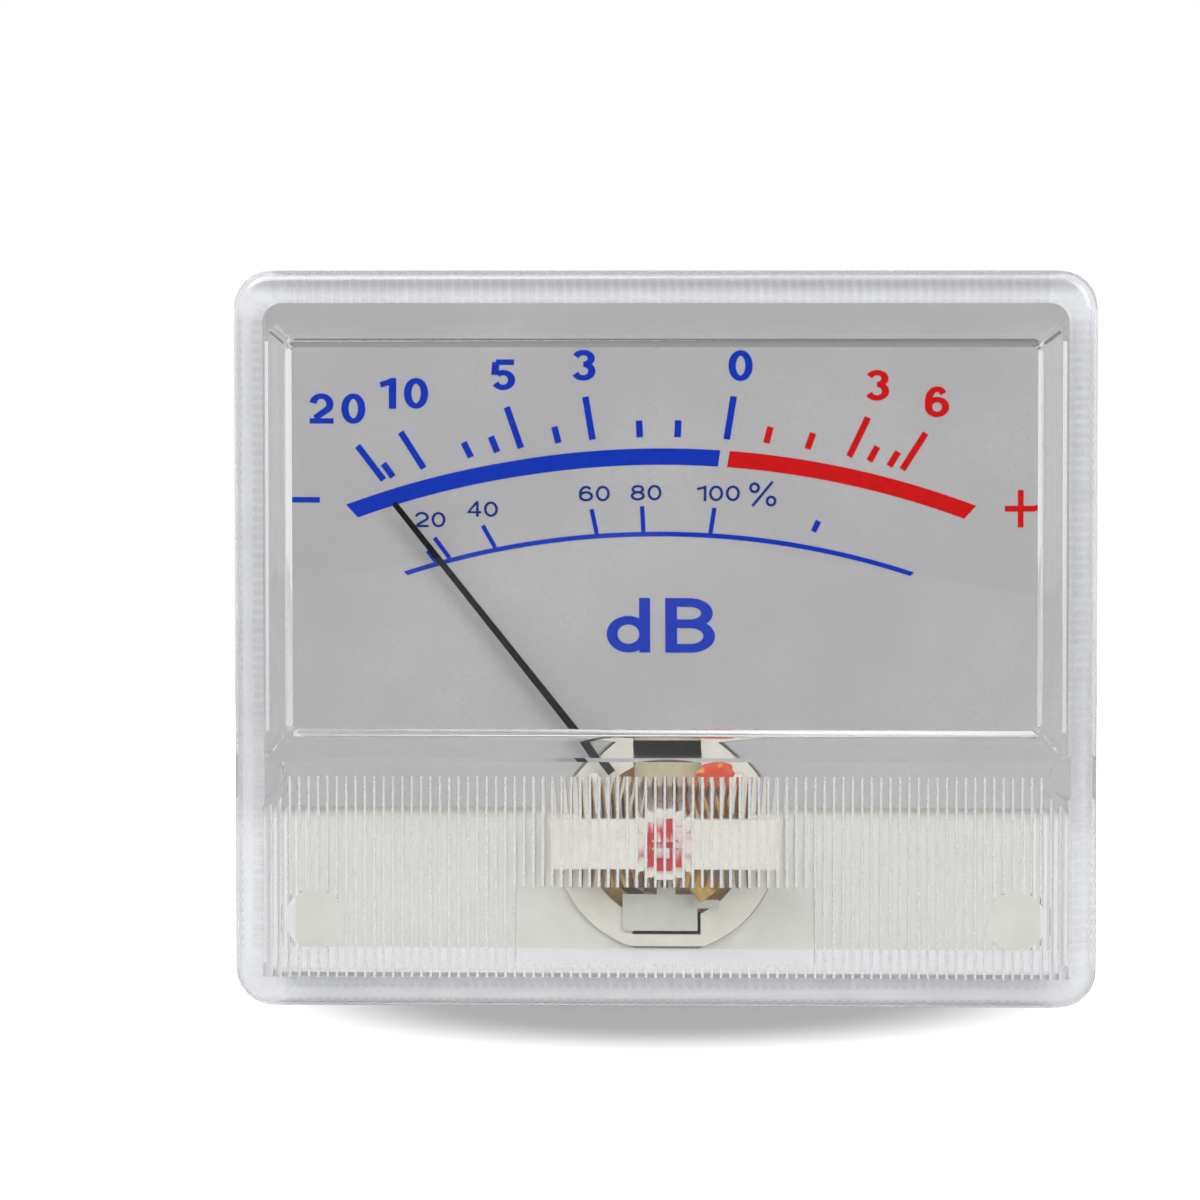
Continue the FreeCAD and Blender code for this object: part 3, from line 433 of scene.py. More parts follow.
def plain_areas():
    """The panel, the two pads and the posts' surroundings, which the flutes leave smooth."""
    y0, y1 = inner_face_y - CUT_OVERRUN, inner_face_y + CUT_OVERRUN
    half, mid = PLAIN_PANEL_WIDTH / 2, PLAIN_PANEL_HEIGHT / 2
    low, high = PLAIN_PANEL_CENTRE_Z - mid, PLAIN_PANEL_CENTRE_Z + mid
    shapes = boxes("plain", [(-half, half, y0, y1, low, high)])
    for side in (-1, 1):
        x, z = side * (half_width - PAD_FROM_SIDE), PAD_FROM_BOTTOM - half_height
        shapes = combine(shapes, bar_along_y("pad", x, z, PAD_R, y0, y1), "UNION")
        x, z = post_place(side)
        shapes = combine(shapes, bar_along_y("post", x, z, POST_PLAIN_R, y0, y1), "UNION")
    return shapes


def rim_teeth():
    """Notches side by side round the inner half of the rim's rear face."""
    spans = []
    inner_x, inner_z = half_width - COVER_SIDE_WALL, half_height - COVER_END_WALL
    outer_x, outer_z = half_width - TOOTH_FROM_EDGE, half_height - TOOTH_FROM_EDGE
    for run, inner, outer, upright in (
        (inner_x - CAVITY_CORNER_R, inner_z, outer_z, False),
        (inner_z - CAVITY_CORNER_R, inner_x, outer_x, True),
    ):
        count = int(2 * run / TOOTH_PITCH)
        for i in range(count):
            start = (i - (count - 1) / 2) * TOOTH_PITCH - TOOTH_WIDTH / 2
            along = (start, start + TOOTH_WIDTH)
            for side in (-1, 1):
                across = tuple(sorted((side * (inner - NOTCH_OVERRUN), side * outer)))
                x_span, z_span = (across, along) if upright else (along, across)
                spans.append((*x_span, rim_y - TOOTH_DEPTH, rim_y + TOOTH_OVERRUN, *z_span))
    return boxes("teeth", spans)


def post_place(side):
    """The (x, z) of a post's middle, on the side wall just below the window."""
    return side * (half_width - COVER_SIDE_WALL), window_foot - POST_BELOW_WINDOW


def cover_posts():
    front, back = inner_face_y - POST_OVERRUN, print_y - POST_TO_DIAL_GAP
    return [bar_along_y("post", *post_place(side), POST_R, front, back) for side in (-1, 1)]


def clear_cover():
    """The whole cover as one closed solid of clear plastic."""
    cover = combine(cover_body(), raised_window(), "UNION")
    hollow = combine(cover_cavity(), window_pocket(), "UNION")
    for post in cover_posts():
        hollow = combine(hollow, post, "DIFFERENCE")
    cover = combine(cover, hollow, "DIFFERENCE")
    cover = combine(cover, combine(flute_cutter(), plain_areas(), "DIFFERENCE"), "DIFFERENCE")
    cover = combine(cover, foot_notches(), "DIFFERENCE")
    cover = combine(cover, rim_teeth(), "DIFFERENCE")
    cover.name = "clear_cover"
    shade_smooth(cover.data, COVER_SMOOTH_ANGLE)
    return cover


# ---- print on the dial ---------------------------------------------------------------
def toward(angle):
    """The direction at an angle clockwise from straight up, as (x, z)."""
    turn = math.radians(angle)
    return math.sin(turn), math.cos(turn)


def on_circle(angle, radius):
    """Where a ray at that angle from POINTS_AT meets a circle round SCALE_CENTRE."""
    dx, dz = toward(angle)
    offset_x, offset_z = POINTS_AT[0] - SCALE_CENTRE[0], POINTS_AT[1] - SCALE_CENTRE[1]
    along = offset_x * dx + offset_z * dz
    rest = offset_x**2 + offset_z**2 - radius**2
    reach = math.sqrt(along**2 - rest) - along
    return POINTS_AT[0] + reach * dx, POINTS_AT[1] + reach * dz


def printed(name, outlines):
    """Flat ink of a small thickness, from closed (x, z) outlines with convex strips."""
    points, faces = [], []
    back = print_y
    for number, outline in enumerate(outlines):
        front = print_y - PRINT_HEIGHT - number % PRINT_STEPS * PRINT_STEP
        start, size = len(points), len(outline)
        points += [(x, front, z) for x, z in outline] + [(x, back, z) for x, z in outline]
        half = size // 2
        for i in range(half - 1):
            a, b, c, d = i, i + 1, size - 2 - i, size - 1 - i
            faces.append(tuple(start + k for k in (a, b, c, d)))
            faces.append(tuple(start + size + k for k in (d, c, b, a)))
        for i in range(size):
            j = (i + 1) % size
            faces.append(tuple(start + k for k in (i, j, j + size, i + size)))
    return outward(new_piece(name, points, faces))


def arc_band(start, end, inner_r, outer_r, steps=48):
    """The outline of an arc between two radii."""
    angles = [start + (end - start) * i / steps for i in range(steps + 1)]
    outer = [on_circle(a, outer_r) for a in angles]
    inner = [on_circle(a, inner_r) for a in reversed(angles)]
    return outer + inner


def tick(angle, inner_r, length, width):
    """The outline of a mark that starts on a circle and points away from POINTS_AT."""
    x, z = on_circle(angle, inner_r)
    dx, dz = toward(angle)
    across_x, across_z = dz * width / 2, -dx * width / 2
    end_x, end_z = x + dx * length, z + dz * length
    return [
        (x - across_x, z - across_z),
        (x + across_x, z + across_z),
        (end_x + across_x, end_z + across_z),
        (end_x - across_x, end_z - across_z),
    ]


def ticks(long_angles, short_angles):
    base = THICK_ARC_R + TICK_GAP
    marks = [tick(angle, base, LONG_TICK, TICK_WIDTH) for angle in long_angles]
    return marks + [tick(angle, base, SHORT_TICK, TICK_WIDTH) for angle in short_angles]


def lower_ticks():
    marks = [tick(angle, THIN_ARC_R, LOWER_TICK, LOWER_TICK_WIDTH) for angle in LOWER_TICKS]
    for angle, gap, length, width in ODD_LOWER_TICKS:
        marks.append(tick(angle, THIN_ARC_R + gap, length, width))
    return marks


def bend(cx, cz, rx, rz, start, end, steps=CURVE_STEPS):
    """Points along part of an ellipse, its angles anticlockwise from the right."""
    turns = [math.radians(start + (end - start) * i / steps) for i in range(steps + 1)]
    return [(cx + rx * math.cos(t), cz + rz * math.sin(t)) for t in turns]


class Letter:
    """Centre lines of a numeral or letter standing in a box from (0, 0) to (wide, high)."""

    def __init__(self, high, wide, side, flat):
        self.high, self.wide, self.flat = high, wide, flat
        self.left, self.right = side / 2, wide - side / 2
        self.base, self.top = flat / 2, high - flat / 2
        self.mid, self.reach = wide / 2, wide / 2 - side / 2
        self.waist = (self.base + self.top) / 2 + WAIST_RISE * high
        # Half the height and the middle of what is above the waist, below it, and of the bowl.
        self.upper = (self.top - self.waist) / 2
        self.lower = (self.waist - self.base) / 2
        self.bowl = BOWL_HEIGHT * high - self.base
        self.upper_z = self.waist + self.upper
        self.lower_z = self.base + self.lower
        self.bowl_z = self.base + self.bowl

    def stem(self, x):
        return [(x, 0), (x, self.high)]

    def oval(self, middle, half, start, end, share=1.0):
        """Part of an oval across the letter, from its middle's height and half its height."""
        steps = RING_STEPS if abs(end - start) == 360 else CURVE_STEPS
        return bend(self.mid, middle, self.reach * share, half, start, end, steps)

    def body(self, start, end):
        """Part of the oval that fills the letter's box."""
        return self.oval(self.high / 2, self.high / 2 - self.base, start, end)

    def zero(self):
        return [self.body(90, 450)]

    def one(self):
        x = self.wide * ONE_WIDTH - self.left
        return [self.stem(x), [(0, 0.78 * self.high), (x, 0.9 * self.high)]]

    def two(self):
        curl = 0.27 * self.high
        hook = self.oval(self.top - curl, curl, 172, -32)
        hook.append((self.left + self.flat / 3, self.base + self.flat / 2))
        return [hook, [(0, self.base), (self.wide, self.base)]]

    def three(self):
        head = self.oval(self.upper_z, self.upper, 160, -90, 0.93)
        return [head, self.oval(self.lower_z, self.lower, 90, -160)]

    def four(self):
        x, bar = 0.72 * self.wide, 0.3 * self.high
        return [[(x, self.high), (self.left * 0.8, bar), (self.wide, bar)], self.stem(x)]

    def five(self):
        corner = (0.2 * self.wide, self.top)
        back = [corner, (self.left, 0.5 * self.high)]
        hook = self.oval(self.bowl_z, self.bowl, 130, -155)
        return [[corner, (0.95 * self.wide, self.top)], back, hook]

    def six(self):
        back = self.body(40, 180) + [(self.left, self.bowl_z)]
        return [back, self.oval(self.bowl_z, self.bowl, 90, 450)]

    def eight(self):
        head = self.oval(self.upper_z, self.upper, -90, 270, 0.9)
        return [head, self.oval(self.lower_z, self.lower, 90, 450)]

    def percent(self):
        ring = 0.15 * self.wide
        upper = bend(ring + self.left, 0.75 * self.high, ring, ring, 0, 360)
        lower = bend(self.wide - ring - self.left, 0.2 * self.high, ring, ring, 0, 360)
        return [upper, lower, [(0.12 * self.wide, 0), (0.86 * self.wide, self.high)]]

    def small_d(self):
        bowl = 0.335 * self.high - self.base
        return [self.stem(self.right), self.oval(self.base + bowl, bowl, 0, 360)]

    def large_b(self):
        base, waist, top = ((self.left, z) for z in (self.base, self.waist, self.top))
        head_reach, foot_reach = self.right * 0.95 - self.mid, self.right - self.mid
        head = bend(self.mid, self.upper_z, head_reach, self.upper, 90, -90)
        foot = bend(self.mid, self.lower_z, foot_reach, self.lower, 90, -90)
        return [self.stem(self.left), [top, *head, waist], [waist, *foot, base]]


LETTERS = {
    "0": Letter.zero,
    "1": Letter.one,
    "2": Letter.two,
    "3": Letter.three,
    "4": Letter.four,
    "5": Letter.five,
    "6": Letter.six,
    "8": Letter.eight,
    "%": Letter.percent,
    "d": Letter.small_d,
    "B": Letter.large_b,
}


def ribbon(path, side, flat):
    """The outline of a stroke along a path, side wide where upright and flat wide where level."""
    line = [Vector(p) for p in path]
    if (line[0] - line[-1]).length < SAME_PLACE:
        line = [line[-2], *line, line[1]]
    else:
        line = [2 * line[0] - line[1], *line, 2 * line[-1] - line[-2]]
    one_side, other_side = [], []
    for last, here, following in zip(line, line[1:], line[2:]):
        first, second = (here - last).normalized(), (following - here).normalized()
        along = (first + second).normalized()
        half = math.hypot(side * along.y, flat * along.x) / 2
        miter = 1 / max(along.dot(first), 1 / MITER_LIMIT)
        across = Vector((-along.y, along.x)) * half * miter
        one_side.append(tuple(here + across))
        other_side.append(tuple(here - across))
    return one_side + other_side[::-1]


def word(text, x, z, style):
    """Outlines of a word centred on (x, z)."""
    high, wide, side, flat, gap = style
    widths = [wide * ONE_WIDTH if letter == "1" else wide for letter in text]
    left = x - (sum(widths) + gap * (len(text) - 1)) / 2
    outlines = []
    for letter, step in zip(text, widths):
        for path in LETTERS[letter](Letter(high, wide, side, flat)):
            placed = [(left + px, z - high / 2 + pz) for px, pz in path]
            outlines.append(ribbon(placed, side, flat))
        left += step + gap
    return outlines


def words(entries):
    return [outline for entry in entries for outline in word(*entry)]


def sign(name, lines, width):
    return printed(name, [ribbon(line, width, width) for line in lines])


def dial_print():
    """The dial's print, as its blue, its dark blue and its red pieces."""
    inner = THICK_ARC_R - THICK_ARC_WIDTH
    start, end = ARC_ENDS
    below_zero, above_zero = ZERO_ANGLE - ZERO_HALF_GAP, ZERO_ANGLE + ZERO_HALF_GAP
    thin = arc_band(*THIN_ARC_ENDS, THIN_ARC_R - THIN_ARC_WIDTH, THIN_ARC_R)
    blue = [
        printed("arc_blue", [arc_band(start, below_zero, inner, THICK_ARC_R)]),
        printed("ticks_blue", ticks(BLUE_LONG_TICKS, BLUE_SHORT_TICKS)),
        printed("arc_lower", [thin]),
        printed("ticks_lower", lower_ticks()),
        printed("words_blue", words(BLUE_WORDS)),
        sign("sign_minus", MINUS, MINUS_WIDTH),
    ]
    dark = [printed("words_small", words(DARK_WORDS))]
    red = [
        printed("arc_red", [arc_band(above_zero, end, inner, THICK_ARC_R)]),
        printed("ticks_red", ticks(RED_LONG_TICKS, RED_SHORT_TICKS)),
        printed("words_red", words(RED_WORDS)),
        sign("sign_plus", PLUS, PLUS_WIDTH),
    ]
    return blue, dark, red


# ---- materials -----------------------------------------------------------------------
def linear(red, green, blue):
    """A colour written as 0 to 255 on screen, as Blender's linear values."""
    def one(value):
        share = value / 255
        if share <= 0.04045:
            return share / 12.92
        return ((share + 0.055) / 1.055) ** 2.4

    return one(red), one(green), one(blue), 1.0


# Part of the light that bare metal sends back as a mirror; the rest is spread by its finish.
METALLIC = 0.45
DULL_SPECULAR = 0.08
LACQUER_COAT = 0.5
PLASTIC_IOR = 1.5
RUBY_IOR = 1.76
# Between which of its values the noise spreads a roughness from low to high.
ROUGHNESS_NOISE = (0.3, 0.7)
# Painted shade on the front of the flange's top strip: its grey, and between which shares of the
# half height it sets in.
PAINTED_TOP_SHADE_COLOR = (192, 192, 194)
TOP_STRIP = (0.93, 0.955)
# Between which Y of its normal a surface comes to count as facing front.
FACING_FRONT = (-0.8, -0.95)
# The pointer's bare metal, the radius it reaches, and the width of the paint's edge.
BARE_ROOT = (196, 190, 176)
BARE_ROOT_R = 5.7
BARE_ROOT_EDGE = 0.1
CASE_THROUGH = (250, 250, 252)
CASE_THROUGH_SHARE = 0.3
# The clear plastic: what its walls let through for lamps, its flutes' added roughness, and the
# light that is given to a ray mirrored more often than this inside it.
CLEAR_THROUGH = (0.985, 0.985, 0.985, 1.0)
FLUTE_ROUGHNESS = 0.1
TRAPPED_DEPTH = 3.5
TRAPPED_LIGHT = 0.15


# ---- node helpers --------------------------------------------------------------------
def feed(tree, socket, value):
    """Links an output into the socket, or sets the socket to a plain value."""
    if isinstance(value, bpy.types.NodeSocket):
        tree.links.new(value, socket)
    else:
        socket.default_value = value


def math_node(tree, operation, *values):
    node = tree.nodes.new("ShaderNodeMath")
    node.operation = operation
    for socket, value in zip(node.inputs, values):
        feed(tree, socket, value)
    return node.outputs[0]


def map_range(tree, source, start, end, low=0.0, high=1.0):
    """Goes from low where the source is at start to high where it is at end."""
    node = tree.nodes.new("ShaderNodeMapRange")
    node.inputs["From Min"].default_value = start
    node.inputs["From Max"].default_value = end
    node.inputs["To Min"].default_value = low
    node.inputs["To Max"].default_value = high
    tree.links.new(source, node.inputs["Value"])
    return node.outputs["Result"]


def mix_colors(tree, share, first, second):
    node = tree.nodes.new("ShaderNodeMix")
    node.data_type = "RGBA"
    feed(tree, node.inputs["Factor"], share)
    feed(tree, node.inputs["A"], first)
    feed(tree, node.inputs["B"], second)
    return node.outputs["Result"]


def mix_shaders(tree, share, first, second):
    node = tree.nodes.new("ShaderNodeMixShader")
    feed(tree, node.inputs["Fac"], share)
    tree.links.new(first, node.inputs[1])
    tree.links.new(second, node.inputs[2])
    return node.outputs["Shader"]


def split_xyz(tree, source):
    node = tree.nodes.new("ShaderNodeSeparateXYZ")
    tree.links.new(source, node.inputs[0])
    return node.outputs


class Finish:
    """A node-based material round one Principled shader, in object coordinates."""

    def __init__(self, name, color, roughness, metallic=0.0):
        self.material = bpy.data.materials.new(name)
        self.material.use_nodes = True
        self.tree = self.material.node_tree
        self.nodes, self.links = self.tree.nodes, self.tree.links
        self.shader = self.nodes["Principled BSDF"]
        self.shader.inputs["Base Color"].default_value = linear(*color)
        self.shader.inputs["Roughness"].default_value = roughness
        self.shader.inputs["Metallic"].default_value = metallic
        self.place = self.nodes.new("ShaderNodeTexCoord").outputs["Object"]
        self.last_bump = None

    @property
    def surface(self):
        return self.shader.outputs["BSDF"]

    def show(self, surface):
        """Puts a surface in the place of the plain one."""
        self.links.new(surface, self.nodes["Material Output"].inputs["Surface"])

    def stretched(self, stretch):
        mapping = self.nodes.new("ShaderNodeMapping")
        mapping.inputs["Scale"].default_value = stretch
        self.links.new(self.place, mapping.inputs["Vector"])
        return mapping.outputs["Vector"]

    def noise(self, size, detail=3.0, stretch=(1, 1, 1)):
        """Noise whose spots are about size across."""
        node = self.nodes.new("ShaderNodeTexNoise")
        node.inputs["Scale"].default_value = 1 / (size * MM)
        node.inputs["Detail"].default_value = detail
        source = self.place if stretch == (1, 1, 1) else self.stretched(stretch)
        self.links.new(source, node.inputs["Vector"])
        return node.outputs["Fac"]

    def blend(self, share, color):
        """Blends another colour into the base colour."""
        socket = self.shader.inputs["Base Color"]
        base = socket.links[0].from_socket if socket.is_linked else tuple(socket.default_value)
        self.links.new(mix_colors(self.tree, share, base, linear(*color)), socket)
        return self

    def mottle(self, color, size, low=0.35, high=0.65, detail=3.0, stretch=(1, 1, 1)):
        """Blends another colour into the base colour in spots."""
        spots = self.noise(size, detail, stretch)
        return self.blend(map_range(self.tree, spots, low, high), color)

    def uneven(self, low, high, size, stretch=(1, 1, 1)):
        """Lets the roughness vary between two values."""
        spots = self.noise(size, stretch=stretch)
        rough = map_range(self.tree, spots, *ROUGHNESS_NOISE, low, high)
        self.links.new(rough, self.shader.inputs["Roughness"])
        return self

    def grain(self, size, height, detail=2.0, stretch=(1, 1, 1)):
        """Bump of a real height in millimetres, laid over any bump already there."""
        return self.bump(self.noise(size, detail, stretch), height)

    def bump(self, source, height):
        node = self.nodes.new("ShaderNodeBump")
        node.inputs["Distance"].default_value = height * MM
        self.links.new(source, node.inputs["Height"])
        if self.last_bump:
            self.links.new(self.last_bump, node.inputs["Normal"])
        self.last_bump = node.outputs["Normal"]
        self.links.new(self.last_bump, self.shader.inputs["Normal"])
        return self


def frost_flutes(finish):
    """Roughens what lies as deep in the front wall as the flutes, mostly their own surface."""
    middle = (inner_face_y - FLUTE_DEPTH / 2 - FLUTE_TIP_GAP) * MM
    reach = (FLUTE_DEPTH / 2 + FLUTE_TIP_GAP / 2) * MM
    depth = split_xyz(finish.tree, finish.place)["Y"]
    here = math_node(finish.tree, "COMPARE", depth, middle, reach)
    socket = finish.shader.inputs["Roughness"]
    base = socket.links[0].from_socket
    rough = math_node(finish.tree, "MULTIPLY_ADD", here, FLUTE_ROUGHNESS, base)
    finish.links.new(rough, socket)


def glow_when_trapped(finish, light_path):
    """Adds light to a ray mirrored to and fro between the walls, which would end as black."""
    tree = finish.tree
    trapped = math_node(tree, "GREATER_THAN", light_path.outputs["Glossy Depth"], TRAPPED_DEPTH)
    strength = math_node(tree, "MULTIPLY", trapped, TRAPPED_LIGHT)
    finish.shader.inputs["Emission Color"].default_value = (1, 1, 1, 1)
    finish.links.new(strength, finish.shader.inputs["Emission Strength"])


def clear_plastic():
    """Clear polystyrene that lets lamps' light straight through to what is behind it."""
    finish = Finish("clear_polystyrene", (235, 235, 235), 0.02)
    finish.uneven(0.012, 0.05, 6.0)
    finish.grain(9.0, 0.006, detail=1.0)
    frost_flutes(finish)
    finish.shader.inputs["Transmission Weight"].default_value = 1.0
    finish.shader.inputs["IOR"].default_value = PLASTIC_IOR
    light_path = finish.nodes.new("ShaderNodeLightPath")
    rays = light_path.outputs
    lit = math_node(finish.tree, "MAXIMUM", rays["Is Shadow Ray"], rays["Is Diffuse Ray"])
    glow_when_trapped(finish, light_path)
    open_air = finish.nodes.new("ShaderNodeBsdfTransparent")
    open_air.inputs["Color"].default_value = CLEAR_THROUGH
    finish.show(mix_shaders(finish.tree, lit, finish.surface, open_air.outputs["BSDF"]))
    return finish


def metal(name, color, darker, roughness, size=0.5, stretch=(1, 1, 1)):
    finish = Finish(name, color, roughness, METALLIC)
    finish.mottle(darker, size, stretch=stretch)
    finish.uneven(roughness * 0.75, roughness * 1.3, size, stretch)
    return finish.grain(size / 3, 0.004, stretch=stretch)


def plastic(name, color, shade, roughness, size=1.5):
    finish = Finish(name, color, roughness)
    finish.mottle(shade, size)
    finish.uneven(roughness * 0.85, roughness * 1.15, size)
    return finish.grain(0.12, 0.004)


def dull(finish):
    """Takes most of the gloss off a finish."""
    finish.shader.inputs["Specular IOR Level"].default_value = DULL_SPECULAR
    return finish


def ink(name, color, shade):
    finish = dull(Finish(name, color, 0.6))
    finish.mottle(shade, 0.5, 0.3, 0.8)
    return finish.grain(0.1, 0.003)


def dial_paint():
    finish = Finish("dial_silver_paint", (173, 172, 173), 0.5)
    finish.mottle((181, 180, 181), 0.14, 0.4, 0.7)
    finish.mottle((166, 165, 167), 9.0, 0.35, 0.75)
    finish.uneven(0.42, 0.58, 0.3)
    return finish.grain(0.12, 0.003)


def yellow_zinc():
    finish = metal("yellow_passivated_zinc", (222, 184, 116), (196, 158, 98), 0.35, 1.2)
    finish.mottle((196, 146, 116), 2.2, 0.5, 0.75)
    return finish


def copper_winding():
    """Fine enamelled turns round the coil."""
    finish = Finish("enamelled_copper", (186, 108, 66), 0.3, METALLIC)
    finish.mottle((140, 66, 34), 0.3, stretch=(1, 0.1, 1))
    return finish.grain(0.05, 0.01, stretch=(1, 8, 1))


def lacquer():
    """Red lacquer brushed upright over bright metal, thin in places."""
    finish = Finish("red_lacquer", (214, 206, 200), 0.18)
    finish.mottle((186, 26, 38), 0.22, 0.44, 0.54, 1.0, (1, 1, 0.08))
    finish.mottle((150, 12, 26), 0.7, 0.55, 0.8)
    finish.shader.inputs["Coat Weight"].default_value = LACQUER_COAT
    return finish.grain(0.9, 0.03)


def varnish():
    finish = Finish("orange_varnish", (208, 66, 26), 0.2)
    finish.mottle((222, 160, 44), 0.7, 0.58, 0.7)
    finish.shader.inputs["Coat Weight"].default_value = LACQUER_COAT
    return finish.grain(0.6, 0.03)


def ruby():
    finish = Finish("ruby", (190, 30, 60), 0.05)
    finish.mottle((160, 20, 50), 0.2)
    finish.shader.inputs["Transmission Weight"].default_value = 0.6
    finish.shader.inputs["IOR"].default_value = RUBY_IOR
    return finish


def pointer_paint():
    """Dull black paint that stops short of the hub, where the pointer's sheet is bare."""
    finish = dull(plastic("black_paint", (14, 14, 16), (26, 26, 29), 0.45, 0.6))
    off_pivot = finish.nodes.new("ShaderNodeVectorMath")
    off_pivot.operation = "MULTIPLY_ADD"
    off_pivot.inputs[1].default_value = (1, 0, 1)
    off_pivot.inputs[2].default_value = (0, 0, -pivot_z * MM)
    finish.links.new(finish.place, off_pivot.inputs[0])
    radius = finish.nodes.new("ShaderNodeVectorMath")
    radius.operation = "LENGTH"
    finish.links.new(off_pivot.outputs["Vector"], radius.inputs[0])
    paint_edge = (BARE_ROOT_R - BARE_ROOT_EDGE) * MM
    bare = map_range(finish.tree, radius.outputs["Value"], BARE_ROOT_R * MM, paint_edge)
    return finish.blend(bare, BARE_ROOT)


def paint_shade_on_flange_top(finish):
    """Greys the front of the flange's top strip with painted shade, where the photograph shows
    the rim grey.
    """
    tree = finish.tree
    normal = finish.nodes.new("ShaderNodeTexCoord").outputs["Normal"]
    start, end = (share * half_height * MM for share in TOP_STRIP)
    high = map_range(tree, split_xyz(tree, finish.place)["Z"], start, end)
    front = map_range(tree, split_xyz(tree, normal)["Y"], *FACING_FRONT)
    finish.blend(math_node(tree, "MULTIPLY", high, front), PAINTED_TOP_SHADE_COLOR)


def white_case():
    """Thin white plastic: part of the light that meets it comes out on its other side."""
    finish = plastic("white_abs", (250, 251, 253), (244, 245, 248), 0.45)
    # Painted shade: the front of the flange's top strip is greyed in the colour.
    paint_shade_on_flange_top(finish)
    through = finish.nodes.new("ShaderNodeBsdfTranslucent")
    through.inputs["Color"].default_value = linear(*CASE_THROUGH)
    glow = through.outputs["BSDF"]
    finish.show(mix_shaders(finish.tree, CASE_THROUGH_SHARE, finish.surface, glow))
    return finish


FINISHES = {
    "case_white": white_case(),
    "support_white": plastic("warm_white_plastic", (211, 211, 205), (204, 204, 197), 0.45),
    "cream": plastic("cream_plastic", (218, 216, 207), (210, 207, 197), 0.42),
    "dial": dial_paint(),
    "zinc": yellow_zinc(),
    "clamp_tan": metal("tan_passivated_clamp", (212, 202, 176), (196, 184, 154), 0.4, 1.0),
    "black_plastic": dull(plastic("black_plastic", (6, 6, 9), (12, 12, 16), 0.5, 0.8)),
    "magnet": plastic("nickelled_magnet", (206, 204, 200), (192, 189, 184), 0.4, 0.8),
    "brass": metal("turned_brass", (206, 168, 92), (178, 138, 70), 0.28, 0.3),
    "steel": metal("bright_steel", (188, 189, 192), (160, 161, 165), 0.25, 0.4),
    "tinned": metal("tinned_metal", (214, 214, 210), (188, 188, 184), 0.3, 0.5),
    "nickel_tab": plastic("nickel_tab", (202, 202, 197), (194, 194, 189), 0.4, 0.8),
    "bronze": metal("phosphor_bronze", (204, 138, 84), (170, 108, 60), 0.25, 0.3),
    "aluminium": metal("aluminium_foil", (206, 207, 210), (184, 185, 189), 0.35, 0.4),
    "copper": copper_winding(),
    "lacquer": lacquer(),
    "varnish": varnish(),
    "ruby": ruby(),
    "pointer_black": pointer_paint(),
    "board": plastic("white_solder_mask", (226, 230, 226), (212, 218, 212), 0.35),
    "lamp": plastic("lamp_body", (236, 222, 160), (226, 204, 120), 0.3, 0.5),
    "blue_ink": ink("blue_ink", (2, 44, 168), (6, 54, 180)),
    "dark_ink": ink("dark_blue_ink", (16, 40, 120), (30, 54, 134)),
    "red_ink": ink("red_ink", (192, 6, 8), (204, 16, 16)),
}

NODE_FINISHES = {
    "rear_case": "case_white",
    "dial_support": "support_white",
    "dial_plate": "dial",
    "frame_front": "cream",
    "frame_rear": "cream",
    "movement_screws": "steel",
    "yoke_ring": "zinc",
    "core_magnet": "magnet",
    "core_clamps": "clamp_tan",
    "clamp_caps": "black_plastic",
    "front_jewel_screw": "lacquer",
    "lock_lacquer": "lacquer",
    "front_jewel": "ruby",
    "rear_jewel_screw": "brass",
    "rear_jewel": "ruby",
    "spring_tab": "nickel_tab",
    "front_hairspring": "bronze",
    "rear_hairspring": "bronze",
    "pointer": "pointer_black",
    "balance_weights": "brass",
    "front_hub": "brass",
    "rear_hub": "brass",
    "front_pivot": "steel",
    "rear_pivot": "steel",
    "coil_former": "aluminium",
    "coil_winding": "copper",
    "zero_lever": "tinned",
    "zero_screw": "brass",
    "signal_pins": "tinned",
    "lamp_pins": "tinned",
    "lamp_board": "board",
    "lamps": "lamp",
}

SOFT_EDGE_ANGLE = 40
SOFT_EDGE_SEGMENTS = 2
# Edge rounding, in millimetres, of the nodes whose edges show.
SOFT_EDGES = {
    "rear_case": 0.06,
    "dial_plate": 0.05,
    "frame_front": 0.12,
    "frame_rear": 0.12,
    "core_clamps": 0.08,
    "clamp_caps": 0.1,
    "spring_tab": 0.06,
    "zero_screw": 0.08,
    "signal_pins": 0.12,
    "lamp_pins": 0.08,
    "movement_screws": 0.08,
    "yoke_ring": 0.1,
}


def paint(piece, finish):
    piece.data.materials.clear()
    piece.data.materials.append(finish.material)


def dress_nodes():
    """Gives each CAD node its finish and soft edges."""
    for name, finish in NODE_FINISHES.items():
        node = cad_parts[name]
        for slot in node.material_slots:
            slot.material = FINISHES[finish].material
        if name in SOFT_EDGES:
            bevel = node.modifiers.new("soft edges", "BEVEL")
            bevel.width = SOFT_EDGES[name] * MM
            bevel.segments = SOFT_EDGE_SEGMENTS
            bevel.limit_method = "ANGLE"
            bevel.angle_limit = math.radians(SOFT_EDGE_ANGLE)


def varnish_points(rows, columns):
    """A low dome with an uneven edge: its top, then rings from the top to the edge."""
    x, y, z = VARNISH_AT
    across, up = VARNISH_REACH
    wave, pace, slice_height = VARNISH_WAVE
    points = [(x, y - VARNISH_RISE, z)]
    for row in range(1, rows + 1):
        lean = math.radians(90 * row / rows)
        for column in range(columns):
            turn = 2 * math.pi * column / columns
            round_drop = Vector((math.cos(turn), math.sin(turn), slice_height))
            reach = math.sin(lean) * (1 + wave * noise.noise(round_drop * pace))
            dx, dz = across * reach * math.cos(turn), up * reach * math.sin(turn)
            points.append((x + dx, y - VARNISH_RISE * math.cos(lean), z + dz))
    return points


